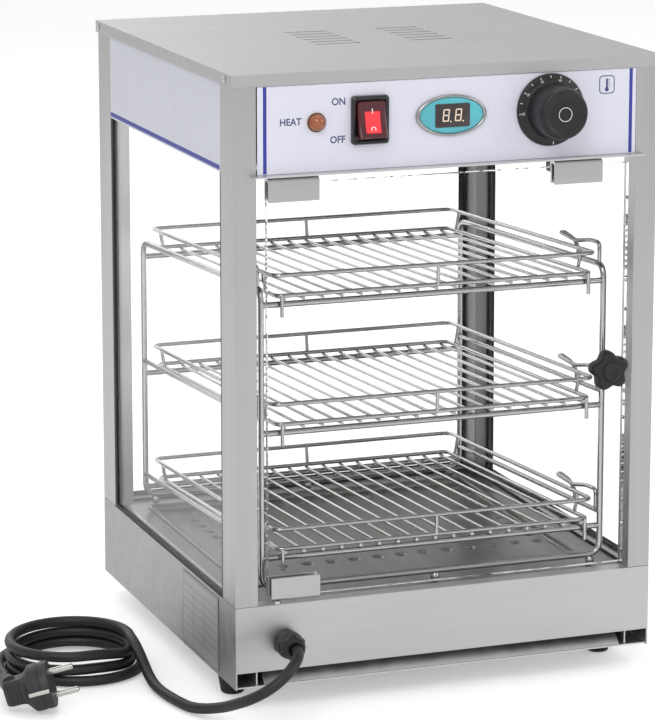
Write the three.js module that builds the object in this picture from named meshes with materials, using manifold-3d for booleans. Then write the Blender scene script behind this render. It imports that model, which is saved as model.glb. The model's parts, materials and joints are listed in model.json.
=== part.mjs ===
// Hot food display case: a glazed heated cabinet with three wire shelves.
// Millimetres, +Z up, the front faces -Y, +X is to the right seen from the front.
// Everything is laid out on the cabinet's own centre line (y = 0 halfway between
// the front and rear faces) and shifted by Y_ORIGIN at the end, so that the
// origin sits on the floor under the middle of the outer box.
import * as THREE from 'three';
import { mergeVertices } from 'three/addons/utils/BufferGeometryUtils.js';
import Module from 'manifold-3d';

const wasm = await Module();
wasm.setup();

// ---------------------------------------------------------------- dimensions
const WIDTH = 350;            // over the top cover
const DEPTH = 354.4;           // over the top cover
const FOOT_H = 20;            // floor to the lower edge of the side panels
const HEIGHT = 494.8;         // floor to the top of the cover
const COVER_H = 9.6;          // depth of the cover's folded flange
const SHEET = 1.2;            // sheet metal thickness
const GAP = 0.3;              // clearance between touching parts
const INSET = 1.0;            // body is this much inside the cover on each side
const POST_X = 18.2;          // front post, seen from the front
const POST_Y = 30;            // front post, seen from the side
const POST_LEG = 20;          // inner leg of the front post
const RPOST_Y = 33.3;         // rear post, seen from the side
const BASE_TOP = 85.0;        // top edge of the base
const FRONT_BOTTOM = 33;      // lower edge of the base's front panel
const DECK_Z = 82.7;          // floor of the heated chamber
const HEAD_BOTTOM = 418.6;    // lower edge of the control panel, top of its lip
const SIDE_HEAD_BOTTOM = 417.4; // lower edge of the side and rear header panels
const LIP_OUT = 8.2;          // how far the lip under the control panel projects
const GLASS_T = 4;            // fixed panes
const DOOR_T = 5;             // door pane
const DOOR_X0 = -146.8, DOOR_X1 = 149.8;
const DOOR_Z0 = 91.2, DOOR_Z1 = 411.2;
const DOOR_Y = -173.2;         // middle of the door pane
const PIVOT_X = -139.0;
const CLIP_D = 10;           // clips on the door pane, front to back
const SCREW_Z = HEIGHT - 4.8, SCREW_YF = -161, SCREW_YR = 168.4;
const RACK_X = 142.4, RACK_YF = -147.5, RACK_YB = 147.5, RACK_WIRE = 5;
const RACK_RAIL_Z = 91.0;     // bottom rails of the rack
const RODS_Z = [114.3, 213.1, 313.5]; // front cross rods: lower, middle, upper shelf
const TILT = 0.054;           // the shelves lean back by this slope
const SHELF_X = 133.9, SHELF_YF = -151, SHELF_YB = 151;
const RAIL_WIRE = 3.4, FLOOR_WIRE = 2.6, BASKET_H = 16;
const FLOOR_WIRES = 17;
const KNOB_X = 82.2, PANEL_MID = 456.3;
const KNOB_R = 28, KNOB_OUT = 29.5;
const LAMP_X = -107.8, SWITCH_X = -65.6, DISPLAY_X = 0.3;
const GLAND_X = -132.6, GLAND_Z = 55.0;
const CORD_D = 8.5;
const Y_ORIGIN = 14.275;      // brings the middle of the outer box to y = 0

const BX = WIDTH / 2 - INSET, BY = DEPTH / 2 - INSET;   // body half sizes
const FY = -BY;                                         // front face of the body

// ---------------------------------------------------------------- helpers
function solid(geometry) {
  let g = geometry.index ? geometry.toNonIndexed() : geometry.clone();
  g.deleteAttribute('normal');
  g.deleteAttribute('uv');
  g = mergeVertices(g, 1e-4);
  const idx = g.index.array, tri = [];
  for (let i = 0; i < idx.length; i += 3) {
    const a = idx[i], b = idx[i + 1], c = idx[i + 2];
    if (a !== b && b !== c && a !== c) tri.push(a, b, c);
  }
  return new wasm.Manifold(new wasm.Mesh({
    numProp: 3,
    vertProperties: new Float32Array(g.attributes.position.array),
    triVerts: new Uint32Array(tri),
  }));
}
function surface(man) {
  const m = man.getMesh();
  const g = new THREE.BufferGeometry();
  g.setAttribute('position', new THREE.BufferAttribute(new Float32Array(m.vertProperties), 3));
  g.setIndex(new THREE.BufferAttribute(new Uint32Array(m.triVerts), 1));
  const flat = g.toNonIndexed();
  flat.computeVertexNormals();
  return flat;
}
const box = (x0, x1, y0, y1, z0, z1) => {
  const g = new THREE.BoxGeometry(x1 - x0, y1 - y0, z1 - z0);
  g.translate((x0 + x1) / 2, (y0 + y1) / 2, (z0 + z1) / 2);
  return solid(g);
};
// round bar from p to q
function bar(p, q, r0, r1 = r0, n = 24) {
  const a = new THREE.Vector3(...p), b = new THREE.Vector3(...q);
  const d = b.clone().sub(a), len = d.length();
  const g = new THREE.CylinderGeometry(r1, r0, len, n, 1);
  g.translate(0, len / 2, 0);
  g.applyQuaternion(new THREE.Quaternion().setFromUnitVectors(new THREE.Vector3(0, 1, 0), d.normalize()));
  g.translate(a.x, a.y, a.z);
  return solid(g);
}
const ball = (p, r, n = 10) => {
  const g = new THREE.SphereGeometry(r, n, Math.max(6, n - 2));
  g.translate(...p);
  return solid(g);
};
// outline in the XZ plane (seen from the front), pushed back in +Y from y0 to y1
function plateXZ(shape, y0, y1, segments = 12) {
  const g = new THREE.ExtrudeGeometry(shape, { depth: y1 - y0, bevelEnabled: false, curveSegments: segments });
  g.rotateX(Math.PI / 2);           // z of the extrusion becomes -y
  g.translate(0, y1, 0);
  return solid(g);
}
function roundRect(x0, x1, z0, z1, r) {
  const s = new THREE.Shape();
  s.moveTo(x0 + r, z0);
  s.lineTo(x1 - r, z0); s.absarc(x1 - r, z0 + r, r, -Math.PI / 2, 0, false);
  s.lineTo(x1, z1 - r); s.absarc(x1 - r, z1 - r, r, 0, Math.PI / 2, false);
  s.lineTo(x0 + r, z1); s.absarc(x0 + r, z1 - r, r, Math.PI / 2, Math.PI, false);
  s.lineTo(x0, z0 + r); s.absarc(x0 + r, z0 + r, r, Math.PI, Math.PI * 1.5, false);
  return s;
}
const poly = (pts) => { const s = new THREE.Shape(); pts.forEach((p, i) => (i ? s.lineTo(p[0], p[1]) : s.moveTo(p[0], p[1]))); s.closePath(); return s; };
// outline in the YZ plane, pushed from x0 to x1
function plateYZ(shape, x0, x1, segments = 12) {
  const g = new THREE.ExtrudeGeometry(shape, { depth: x1 - x0, bevelEnabled: false, curveSegments: segments });
  const m = new THREE.Matrix4().set(0, 0, 1, x0, 1, 0, 0, 0, 0, 1, 0, 0, 0, 0, 0, 1);
  g.applyMatrix4(m);
  return solid(g);
}
// corners of a path rounded to radius r, sampled
function rounded(points, r, n = 4, closed = false) {
  const v = points.map((p) => new THREE.Vector3(...p)), out = [];
  const count = v.length;
  for (let i = 0; i < count; i++) {
    if (!closed && (i === 0 || i === count - 1)) { out.push(v[i].clone()); continue; }
    const a = v[(i + count - 1) % count], b = v[i], c = v[(i + 1) % count];
    const u = a.clone().sub(b), w = c.clone().sub(b);
    const lim = Math.min(r, u.length() * 0.49, w.length() * 0.49);
    const p = b.clone().add(u.normalize().multiplyScalar(lim));
    const q = b.clone().add(w.normalize().multiplyScalar(lim));
    for (let k = 0; k <= n; k++) {
      const t = k / n;
      out.push(p.clone().multiplyScalar((1 - t) * (1 - t)).add(b.clone().multiplyScalar(2 * t * (1 - t))).add(q.clone().multiplyScalar(t * t)));
    }
  }
  return out;
}
// round wire along a list of points; a closed one uses `up` to keep from twisting
function wire(points, r, sides = 8, closed = false, up = null) {
  const pts = points.map((p) => (p.isVector3 ? p : new THREE.Vector3(...p)));
  const n = pts.length, pos = [], tri = [];
  let normal = null;
  for (let i = 0; i < n; i++) {
    const a = closed ? pts[(i + n - 1) % n] : pts[Math.max(0, i - 1)];
    const c = closed ? pts[(i + 1) % n] : pts[Math.min(n - 1, i + 1)];
    const t = new THREE.Vector3();
    if (i > 0 || closed) t.add(pts[i].clone().sub(a).normalize());
    if (i < n - 1 || closed) t.add(c.clone().sub(pts[i]).normalize());
    t.normalize();
    if (up) normal = up.clone();
    else if (!normal) normal = Math.abs(t.z) < 0.9 ? new THREE.Vector3(0, 0, 1) : new THREE.Vector3(1, 0, 0);
    normal.sub(t.clone().multiplyScalar(normal.dot(t))).normalize();
    const side = new THREE.Vector3().crossVectors(t, normal);
    for (let k = 0; k < sides; k++) {
      const ang = ((k + 0.5) / sides) * Math.PI * 2;
      const q = pts[i].clone().addScaledVector(normal, r * Math.cos(ang)).addScaledVector(side, r * Math.sin(ang));
      pos.push(q.x, q.y, q.z);
    }
  }
  const rings = closed ? n : n - 1;
  for (let i = 0; i < rings; i++) {
    const j = (i + 1) % n;
    for (let k = 0; k < sides; k++) {
      const l = (k + 1) % sides;
      const a = i * sides + k, b = i * sides + l, c = j * sides + l, d = j * sides + k;
      tri.push(a, c, b, a, d, c);
    }
  }
  if (!closed) {
    for (let k = 1; k < sides - 1; k++) {
      tri.push(0, k, k + 1);
      const e = (n - 1) * sides;
      tri.push(e, e + k + 1, e + k);
    }
  }
  const make = (t) => new wasm.Manifold(new wasm.Mesh({ numProp: 3, vertProperties: new Float32Array(pos), triVerts: new Uint32Array(t) }));
  let m = make(tri);
  if (m.volume() < 0) { const f = []; for (let i = 0; i < tri.length; i += 3) f.push(tri[i], tri[i + 2], tri[i + 1]); m = make(f); }
  return m;
}
const all = (list) => list.reduce((a, b) => a.add(b));

const part = new THREE.Group();
part.name = 'hot_food_display_case';
const MATS = {
  steel: { color: 0xb9babb, roughness: 0.34, metalness: 1 },
  steel_dark: { color: 0x8f9092, roughness: 0.4, metalness: 1 },
  chrome: { color: 0xd4d6d8, roughness: 0.12, metalness: 1 },
  print: { color: 0xd9d9ea, roughness: 0.45, metalness: 0 },
  glass: { color: 0xeef4f3, roughness: 0.03, metalness: 0 },
  rubber: { color: 0x111111, roughness: 0.75, metalness: 0 },
  black: { color: 0x151515, roughness: 0.5, metalness: 0 },
  plug: { color: 0x2b2b2c, roughness: 0.55, metalness: 0 },
  red: { color: 0xa3101a, roughness: 0.25, metalness: 0 },
  amber: { color: 0x8a3512, roughness: 0.2, metalness: 0 },
  teal: { color: 0x2b98a3, roughness: 0.35, metalness: 0 },
  nickel: { color: 0xc9c6c0, roughness: 0.25, metalness: 1 },
  label: { color: 0xb4b5b7, roughness: 0.45, metalness: 0.6 },
};
function put(name, man, mat) {
  const m = new THREE.MeshStandardMaterial(MATS[mat]);
  m.name = mat;
  const g = surface(man.asOriginal().simplify(0.01)); // no slivers where rods meet
  g.translate(0, Y_ORIGIN, 0);
  const mesh = new THREE.Mesh(g, m);
  mesh.name = name;
  part.add(mesh);
}

// ---------------------------------------------------------------- top cover
const CX = WIDTH / 2, CY = DEPTH / 2, COVER_Z = HEIGHT - COVER_H;
let cover = box(-CX, CX, -CY, CY, COVER_Z, HEIGHT)
  .subtract(box(-CX + SHEET, CX - SHEET, -CY + SHEET, CY - SHEET, COVER_Z - 1, HEIGHT - SHEET));
for (const [gx, gy, half] of [[-37.1, 6, 19], [42.2, 6, 18]]) {
  for (let i = 0; i < 6; i++) {
    const y = gy + (i - 2.5) * 15.4;
    cover = cover.subtract(box(gx - half, gx + half, y - 2.1, y + 2.1, HEIGHT - 4, HEIGHT + 1));
  }
}
// screw holes in the side flanges
for (const sx of [-1, 1]) for (const y of [SCREW_YF, SCREW_YR]) cover = cover.subtract(bar([sx * (CX - 3), y, SCREW_Z], [sx * (CX + 1), y, SCREW_Z], 1.9, 1.9, 12));
put('top_cover', cover, 'steel');
for (const [sx, sn] of [[-1, 'left'], [1, 'right']]) {
  for (const [y, yn] of [[SCREW_YF, 'front'], [SCREW_YR, 'rear']]) {
    // pan head outside the flange with its threaded shank through it
    const head = bar([sx * (CX + GAP), y, SCREW_Z], [sx * (CX + 1.3), y, SCREW_Z], 2.9, 2.2, 16);
    const shank = bar([sx * (CX + 0.6), y, SCREW_Z], [sx * (CX - 6), y, SCREW_Z], 1.5, 1.5, 12);
    const slot = box(sx * (CX + 1.3) - 0.5, sx * (CX + 1.3) + 0.5, y - 1.6, y + 1.6, SCREW_Z - 0.3, SCREW_Z + 0.3).add(box(sx * (CX + 1.3) - 0.5, sx * (CX + 1.3) + 0.5, y - 0.3, y + 0.3, SCREW_Z - 1.6, SCREW_Z + 1.6));
    put(`cover_screw_${sn}_${yn}`, head.add(shank).subtract(slot), 'nickel');
  }
}

// ---------------------------------------------------------------- posts
const POST_Z0 = BASE_TOP + GAP, POST_Z1 = COVER_Z + 7.6; // tucked up inside the cover
const postTube = (x0, x1, y0, y1, hole) => {
  const p = box(x0, x1, y0, y1, POST_Z0, POST_Z1).subtract(box(x0 + SHEET, x1 - SHEET, y0 + SHEET, y1 - SHEET, POST_Z0 - 1, POST_Z1 + 1));
  return hole ? p.subtract(hole) : p;
};
const PX = BX - 0.7; // outer face of the posts, inside the cover flange
const PY = BY - 0.7;
const screwHoles = (p, sx, y) => p.subtract(bar([sx * (PX - 7), y, SCREW_Z], [sx * (PX + 2), y, SCREW_Z], 1.9, 1.9, 12));
for (const [sx, sn] of [[-1, 'left'], [1, 'right']]) {
  const xa = sx < 0 ? -PX : PX - POST_X, xb = sx < 0 ? -PX + POST_X : PX;
  // front post: open section, its inner leg shorter than its outer one
  const open = sx < 0 ? box(xa + SHEET, xb + 1, -PY + POST_LEG, -PY + POST_Y + 1, POST_Z0 - 1, POST_Z1 + 1)
    : box(xa - 1, xb - SHEET, -PY + POST_LEG, -PY + POST_Y + 1, POST_Z0 - 1, POST_Z1 + 1);
  put(`post_front_${sn}`, screwHoles(postTube(xa, xb, -PY, -PY + POST_Y, open), sx, SCREW_YF), 'steel');
  put(`post_rear_${sn}`, screwHoles(postTube(xa, xb, PY - RPOST_Y, PY), sx, SCREW_YR), 'steel');
}
const OPEN_X = PX - POST_X;          // half width between the posts
const GY0 = -PY + POST_Y, GY1 = PY - RPOST_Y; // clear stretch of the sides

// ---------------------------------------------------------------- control panel
const HX = OPEN_X - 0.6, HT = COVER_Z + 7.0;
const HY = -PY;                    // front plane of the panel's metal
let head = box(-HX, HX, HY, HY + SHEET, HEAD_BOTTOM - SHEET, HT)
  .add(box(-HX, HX, HY, HY + 26, HEAD_BOTTOM - SHEET, HEAD_BOTTOM))
  .add(box(-HX, HX, HY, HY + 12, HT - SHEET, HT));
// lip: a thin shelf in front of the panel, a little wider than the opening
head = head.add(box(-HX - 4.9, HX + 4.9, HY - LIP_OUT - 1, HY - GAP, HEAD_BOTTOM - SHEET, HEAD_BOTTOM))
  .add(box(-HX, HX, HY - 1, HY + 0.5, HEAD_BOTTOM - SHEET, HEAD_BOTTOM));
const oval = (cx, cz, rx, rz) => { const s = new THREE.Shape(); s.absellipse(cx, cz, rx, rz, 0, Math.PI * 2, false, 0); return s; };
const stadium = (cx, cz, w, h, r) => roundRect(cx - w / 2, cx + w / 2, cz - h / 2, cz + h / 2, r);
const cut = (s) => plateXZ(s, HY - 3, HY + SHEET + 2, 4);
const holes = [cut(stadium(SWITCH_X, PANEL_MID, 24.0, 31.6, 1)), cut(stadium(DISPLAY_X, PANEL_MID, 46.6, 21.6, 9)),
  bar([LAMP_X, HY - 3, PANEL_MID], [LAMP_X, HY + 4, PANEL_MID], 5.4, 5.4, 14), bar([KNOB_X, HY - 3, PANEL_MID], [KNOB_X, HY + 4, PANEL_MID], 5.2, 5.2, 14)];
for (const h of holes) head = head.subtract(h);
head = head.subtract(bar([PIVOT_X, DOOR_Y, HEAD_BOTTOM - 4], [PIVOT_X, DOOR_Y, HEAD_BOTTOM + 3], 1.9, 1.9, 12));
put('control_panel', head, 'steel');
// printed front film with the same cut-outs
let film = box(-HX, HX, HY - 0.75, HY - 0.3, HEAD_BOTTOM + 0.3, COVER_Z + 0.2);
film = film.subtract(box(-400, 400, -400, 0, COVER_Z - 0.35, COVER_Z + 9));
for (const h of holes) film = film.subtract(h);
put('panel_film', film, 'print');

// ---------------------------------------------------------------- side and rear headers, ceiling
put('header_left', box(-PX, -PX + SHEET, GY0 + GAP, GY1 - GAP, SIDE_HEAD_BOTTOM, HT), 'print');
put('header_right', box(PX - SHEET, PX, GY0 + GAP, GY1 - GAP, SIDE_HEAD_BOTTOM, HT), 'print');
put('header_rear', box(-HX, HX, PY - SHEET, PY, SIDE_HEAD_BOTTOM, HT), 'steel');
const CEIL_X = 152, CEIL_Z = 422, CEIL_Y0 = -148.5, CEIL_Y1 = 164.3;
put('chamber_ceiling', box(-CEIL_X, CEIL_X, CEIL_Y0, CEIL_Y1, CEIL_Z, CEIL_Z + SHEET)
  .add(box(-CEIL_X, CEIL_X, CEIL_Y0, CEIL_Y0 + SHEET, CEIL_Z, CEIL_Z + 12))
  .add(box(-CEIL_X, CEIL_X, CEIL_Y1 - SHEET, CEIL_Y1, CEIL_Z, CEIL_Z + 12)), 'steel_dark');

// ---------------------------------------------------------------- fixed glass and its rubber
const GX1 = PX - 1.7, GX0 = GX1 - GLASS_T;   // side panes, outer and inner face
const RUB = 1.3;                             // visible rubber edge
const GZ0 = BASE_TOP + GAP + RUB, GZ1 = 427;
for (const [sx, sn] of [[-1, 'left'], [1, 'right']]) {
  const x = (a, b) => (sx < 0 ? [-b, -a] : [a, b]);
  const [ga, gb] = x(GX0, GX1);
  const y0 = GY0 + GAP + 2, y1 = GY1 - GAP - 2;
  put(`glass_${sn}`, box(ga, gb, y0, y1, GZ0, GZ1), 'glass');
  const [ra, rb] = x(GX0 - 1.2, GX1 + 1.2);
  // U-shaped rubber: under the pane and up both of its edges
  const rub = box(ra, rb, GY0 + GAP, GY1 - GAP, BASE_TOP + GAP, SIDE_HEAD_BOTTOM - GAP)
    .subtract(box(ra - 1, rb + 1, y0 + 1.4, y1 - 1.4, GZ0 + 1.4, SIDE_HEAD_BOTTOM + 5))
    .subtract(box(ga - GAP, gb + GAP, y0 - GAP, y1 + GAP, GZ0 - GAP, SIDE_HEAD_BOTTOM + 5));
  put(`glass_seal_${sn}`, rub, 'rubber');
}
const RY1 = PY - 1.7, RY0 = RY1 - GLASS_T;
{
  const x1 = HX - 2;
  put('glass_rear', box(-x1, x1, RY0, RY1, GZ0, GZ1), 'glass');
  put('glass_seal_rear', box(-HX, HX, RY0 - 1.2, RY1 + 1.2, BASE_TOP + GAP, SIDE_HEAD_BOTTOM - GAP)
    .subtract(box(-x1 + 1.4, x1 - 1.4, RY0 - 3, RY1 + 3, GZ0 + 1.4, SIDE_HEAD_BOTTOM + 5))
    .subtract(box(-x1 - GAP, x1 + GAP, RY0 - GAP, RY1 + GAP, GZ0 - GAP, SIDE_HEAD_BOTTOM + 5)), 'rubber');
}

// ---------------------------------------------------------------- base
const QX = PX, QY = PY;
let base = box(-QX, QX, -QY, QY, FOOT_H, BASE_TOP)
  .subtract(box(-QX + SHEET, QX - SHEET, -QY + SHEET, QY - SHEET, FOOT_H - 1, BASE_TOP - SHEET))
  .subtract(box(-QX + 13, QX - 13, -QY + 13, QY - 13, FOOT_H, BASE_TOP + 1))
  .subtract(box(-QX + SHEET, QX - SHEET, -QY - 1, -QY + SHEET + 1, FOOT_H - 1, FRONT_BOTTOM))
  .subtract(bar([GLAND_X, -QY - 2, GLAND_Z], [GLAND_X, -QY + 4, GLAND_Z], 7.4, 7.4, 24))
  .subtract(bar([PIVOT_X, DOOR_Y, BASE_TOP - 4], [PIVOT_X, DOOR_Y, BASE_TOP + 2], 1.9, 1.9, 16));
put('base_shell', base, 'steel');
// deck: plate under the top flange with a sunk well for the perforated tray
const WELL_X = 139, WELL_Y0 = -110.9, WELL_Y1 = 138.6;
const DX = QX - SHEET - GAP, DY = QY - SHEET - GAP;
let deck = box(-DX, DX, -DY, DY, DECK_Z - SHEET - 0.3, DECK_Z - 0.3)
  .subtract(box(-WELL_X, WELL_X, WELL_Y0, WELL_Y1, DECK_Z - 9, DECK_Z + 9))
  .subtract(bar([PIVOT_X, DOOR_Y, DECK_Z - 4], [PIVOT_X, DOOR_Y, DECK_Z + 2], 2.8, 2.8, 16));
put('deck', deck, 'steel_dark');
let tray = box(-WELL_X - 5, WELL_X + 5, WELL_Y0 - 5, WELL_Y1 + 5, DECK_Z, DECK_Z + 1)
  .add(box(-WELL_X + 0.6, WELL_X - 0.6, WELL_Y0 + 0.6, WELL_Y1 - 0.6, DECK_Z - 5, DECK_Z + 1))
  .subtract(box(-WELL_X + 1.8, WELL_X - 1.8, WELL_Y0 + 1.8, WELL_Y1 - 1.8, DECK_Z - 4, DECK_Z + 2));
{
  const cuts = [];
  const hole = (x, y) => cuts.push(bar([x, y, DECK_Z - 7], [x, y, DECK_Z + 3], 3.3, 3.3, 8));
  // one row of holes along the front and the rear, one column down each side
  for (let i = 0; i < 13; i++) for (const y of [-56.5, 119.9]) hole(7.6 + (i - 6) * 20, y);
  for (let j = 1; j < 9; j++) for (const x of [-113.4, 128.6]) hole(x, -56.5 + j * 19.6);
  tray = tray.subtract(all(cuts));
}
put('perforated_tray', tray, 'steel_dark');
// bottom pan: full-width plate, its front edge folded up and leaning back, a low
// upstand along each side and a gusset plate near each front corner
const PAN_Z = 20.6, FEET = [['front', 156.5, -117], ['rear', 105, 135]];
{
  const x1 = QX - SHEET - 0.6, y0 = -QY + 0.8, y1 = QY - SHEET - GAP, xs = 149.5, xg = 154.5;
  const fold = poly([[y0, PAN_Z + 0.5], [y0 + 1.9, PAN_Z + 0.5], [y0 + 17.8, 36.4], [y0 + 16.8, 37.2]]);
  let pan = box(-x1, x1, y0, y1, PAN_Z, PAN_Z + SHEET).add(plateYZ(fold, -xs, xs))
    .add(box(-x1, x1, y1 - SHEET, y1, PAN_Z + 0.5, 44));
  for (const s of [-1, 1]) {
    const a = (p, q) => [Math.min(s * p, s * q), Math.max(s * p, s * q)];
    pan = pan.add(box(...a(x1 - SHEET, x1), -142, y1, PAN_Z + 0.5, 44)).add(box(...a(xg, xg + SHEET), y0 + 3, -142, PAN_Z + 0.5, 44));
    for (const [, fx, y] of FEET) pan = pan.subtract(bar([s * fx, y, PAN_Z - 3], [s * fx, y, PAN_Z + 4], 2.4, 2.4, 12));
  }
  put('bottom_pan', pan, 'steel');
  // feet: round, tapered, with a stud through the pan
  for (const [sx, sn] of [[-1, 'left'], [1, 'right']]) for (const [yn, fx, y] of FEET) {
    const pts = [[0, 0], [8.4, 0], [9.2, 1.2], [11.8, 15], [11.8, 17.8], [11.2, PAN_Z - GAP], [2, PAN_Z - GAP], [2, PAN_Z + 6], [0, PAN_Z + 6]].map((p) => new THREE.Vector2(p[0], p[1]));
    const g = new THREE.LatheGeometry(pts, 16);
    g.rotateX(Math.PI / 2);
    g.translate(sx * fx, y, 0);
    put(`foot_${yn}_${sn}`, solid(g), 'rubber');
  }
}
// sheathed heating element under the deck, its two ends turned towards the front
{
  const z = 62, r = 4.2;
  const pts = rounded([[-118, -150, z], [-118, 128, z], [-40, 128, z], [-40, -96, z], [40, -96, z], [40, 128, z], [118, 128, z], [118, -150, z]], 34, 4);
  put('heating_element', wire(pts, r, 6), 'steel_dark');
}

// ---------------------------------------------------------------- controls
const FF = HY - 0.75;   // face of the film
// indicator lamp: collar with a domed lens in it
put('lamp_collar', bar([LAMP_X, FF - 1.6, PANEL_MID], [LAMP_X, FF - 0.3, PANEL_MID], 7.3, 7.5, 28)
  .add(bar([LAMP_X, FF - 0.4, PANEL_MID], [LAMP_X, HY + 18, PANEL_MID], 5.0, 5.0, 24))
  .subtract(bar([LAMP_X, FF - 3, PANEL_MID], [LAMP_X, HY + 6, PANEL_MID], 4.0, 4.0, 24))
  .subtract(bar([LAMP_X, FF - 3, PANEL_MID], [LAMP_X, FF - 1.0, PANEL_MID], 6.8, 6.8, 24)), 'black');
{
  const pts = [[0, 6.6], [2.5, 6.3], [4.7, 5.2], [6.0, 3.4], [6.5, 1.0], [6.5, 0.2], [3.7, 0.3], [3.7, -3.8], [0, -3.8]].reverse().map((p) => new THREE.Vector2(p[0], p[1]));
  put('lamp_lens', (() => {
    const h = new THREE.LatheGeometry(pts, 24);
    h.rotateX(Math.PI / 2);           // axis +Y -> +Z
    h.applyMatrix4(new THREE.Matrix4().makeRotationX(Math.PI / 2)); // +Z -> -Y
    h.translate(LAMP_X, FF - 0.9, PANEL_MID);
    return solid(h);
  })(), 'amber');
}
// rocker switch: bezel with a body behind the panel, and the rocker on a cross pin
const SW_D = 4.2;       // how far the bezel stands out
const ROCKER_Y = FF - 4, ROCKER_TILT = 13 * Math.PI / 180;
{
  const b = plateXZ(roundRect(SWITCH_X - 14.9, SWITCH_X + 14.9, PANEL_MID - 18.5, PANEL_MID + 18.5, 2.6), FF - SW_D, FF - 0.3, 5)
    .add(box(SWITCH_X - 11.6, SWITCH_X + 11.6, FF - 0.4, HY + 20, PANEL_MID - 15.4, PANEL_MID + 15.4))
    .subtract(box(SWITCH_X - 9.9, SWITCH_X + 9.9, FF - SW_D - 1, HY + 14, PANEL_MID - 13.2, PANEL_MID + 13.2))
    .subtract(box(SWITCH_X - 11.9, SWITCH_X + 11.9, FF - SW_D - 1, FF - 0.9, PANEL_MID - 15.4, PANEL_MID + 15.4));
  put('switch_bezel', b, 'black');
  // rocker: hooded cap on a narrower rear part, turned so that its upper end is
  // pressed in (on); it turns about a cross pin at ROCKER_Y
  const tilt = (pts) => poly(pts.map(([y, z]) => [
    ROCKER_Y + y * Math.cos(ROCKER_TILT) + z * Math.sin(ROCKER_TILT), PANEL_MID - y * Math.sin(ROCKER_TILT) + z * Math.cos(ROCKER_TILT)]));
  const cap = plateYZ(tilt([[-5, 13.9], [-4.2, 7.5], [-3.7, 0], [-4.2, -7.5], [-5, -13.9], [-0.8, -14.0], [0.2, -10], [0.2, 10], [-0.8, 14.0]]), SWITCH_X - 11.1, SWITCH_X + 11.1);
  const back = plateYZ(tilt([[-1, 9.6], [1, 9.6], [6, 6.5], [9, 3], [9, -3], [6, -6.5], [1, -9.6], [-1, -9.6]]), SWITCH_X - 9.2, SWITCH_X + 9.2);
  put('switch_rocker', cap.add(back), 'red');
}
// thermometer display: oval bezel, face plate with a window
{
  const b = plateXZ(oval(DISPLAY_X, PANEL_MID, 28.7, 15.8), FF - 3.0, FF - 0.3, 24)
    .add(plateXZ(stadium(DISPLAY_X, PANEL_MID, 45.4, 20.4, 8.4), FF - 0.4, HY + 16, 6))
    .subtract(plateXZ(oval(DISPLAY_X, PANEL_MID, 24.8, 13.0), FF - 5, FF - 1.4, 24))
    .subtract(plateXZ(stadium(DISPLAY_X, PANEL_MID, 41, 16, 6), FF - 2, HY + 12, 6));
  put('display_bezel', b, 'chrome');
  put('display_face', plateXZ(oval(DISPLAY_X, PANEL_MID, 24.4, 12.6), FF - 2.3, FF - 1.7, 24)
    .add(plateXZ(stadium(DISPLAY_X, PANEL_MID, 39.6, 14.6, 5.5), FF - 1.8, HY + 11, 6)), 'teal');
}
// thermostat: body behind the panel, shaft through it, and the knob
{
  const t = box(KNOB_X - 18, KNOB_X + 18, HY + SHEET + GAP, HY + 26, PANEL_MID - 14, PANEL_MID + 16)
    .add(bar([KNOB_X, HY + 8, PANEL_MID], [KNOB_X, FF - 9, PANEL_MID], 3, 3, 20));
  put('thermostat', t, 'steel_dark');
  const lathe = (p) => { const g = new THREE.LatheGeometry(p.map((q) => new THREE.Vector2(q[0], q[1])), 28); g.rotateX(Math.PI / 2); g.applyMatrix4(new THREE.Matrix4().makeRotationX(Math.PI / 2)); g.translate(KNOB_X, FF, PANEL_MID); return solid(g); };
  let k = lathe([[0, 10.4], [3.35, 10.4], [3.35, 0.6], [KNOB_R, 0.6], [KNOB_R, 2.2], [KNOB_R - 0.8, 3.2], [21.8, 4.4], [20.6, 6.2], [20.2, KNOB_OUT - 6], [19.4, KNOB_OUT - 1.4], [17.9, KNOB_OUT], [0, KNOB_OUT]]);
  // a shallow hollow in the end face and a small round boss in it
  k = k.subtract(lathe([[0, KNOB_OUT - 0.7], [14.6, KNOB_OUT - 0.7], [15.8, KNOB_OUT + 1], [0, KNOB_OUT + 1]]))
    .add(lathe([[0, KNOB_OUT - 2], [5.9, KNOB_OUT - 2], [5.9, KNOB_OUT - 0.25], [5.5, KNOB_OUT - 0.05], [0, KNOB_OUT - 0.05]]));
  put('thermostat_knob', k, 'black');
}

// ---------------------------------------------------------------- door
const DY0 = DOOR_Y - DOOR_T / 2, DY1 = DOOR_Y + DOOR_T / 2;
const STAR_X = 129.5, STAR_Z = 250.6;
put('door_glass', box(DOOR_X0, DOOR_X1, DY0, DY1, DOOR_Z0, DOOR_Z1)
  .subtract(bar([STAR_X, DY0 - 1, STAR_Z], [STAR_X, DY1 + 1, STAR_Z], 3.4, 3.4, 20)), 'glass');
// clip: a folded channel over the edge of the pane, with a big bend on the closed side
function clip(x0, x1, edge, dir, over, under, len) {
  const wall = 2.0, half = CLIP_D / 2, r = half;
  const outer = new THREE.Shape(), z = (d) => edge + dir * d;
  const outline = (h, top, from) => {
    const s = [];
    s.push([DOOR_Y - h, z(from)]);
    for (let k = 0; k <= 8; k++) { const a = Math.PI - (k / 8) * Math.PI; s.push([DOOR_Y + h * Math.cos(a), z(top + 0.55 * h * Math.sin(a))]); }
    s.push([DOOR_Y + h, z(from)]);
    return poly(s);
  };
  const body = plateYZ(outline(half, over, -len), x0, x1);
  const slotIn = plateYZ(outline(half - wall, under, -len - 5), x0 - 1, x1 + 1);
  return body.subtract(slotIn);
}
put('clip_top_left', clip(-146.5, -105.8, DOOR_Z1, 1, 2.2, 0.6, 13.6), 'chrome');
put('clip_top_right', clip(86.4, 126.7, DOOR_Z1, 1, 2.2, 0.6, 13.6), 'chrome');
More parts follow.
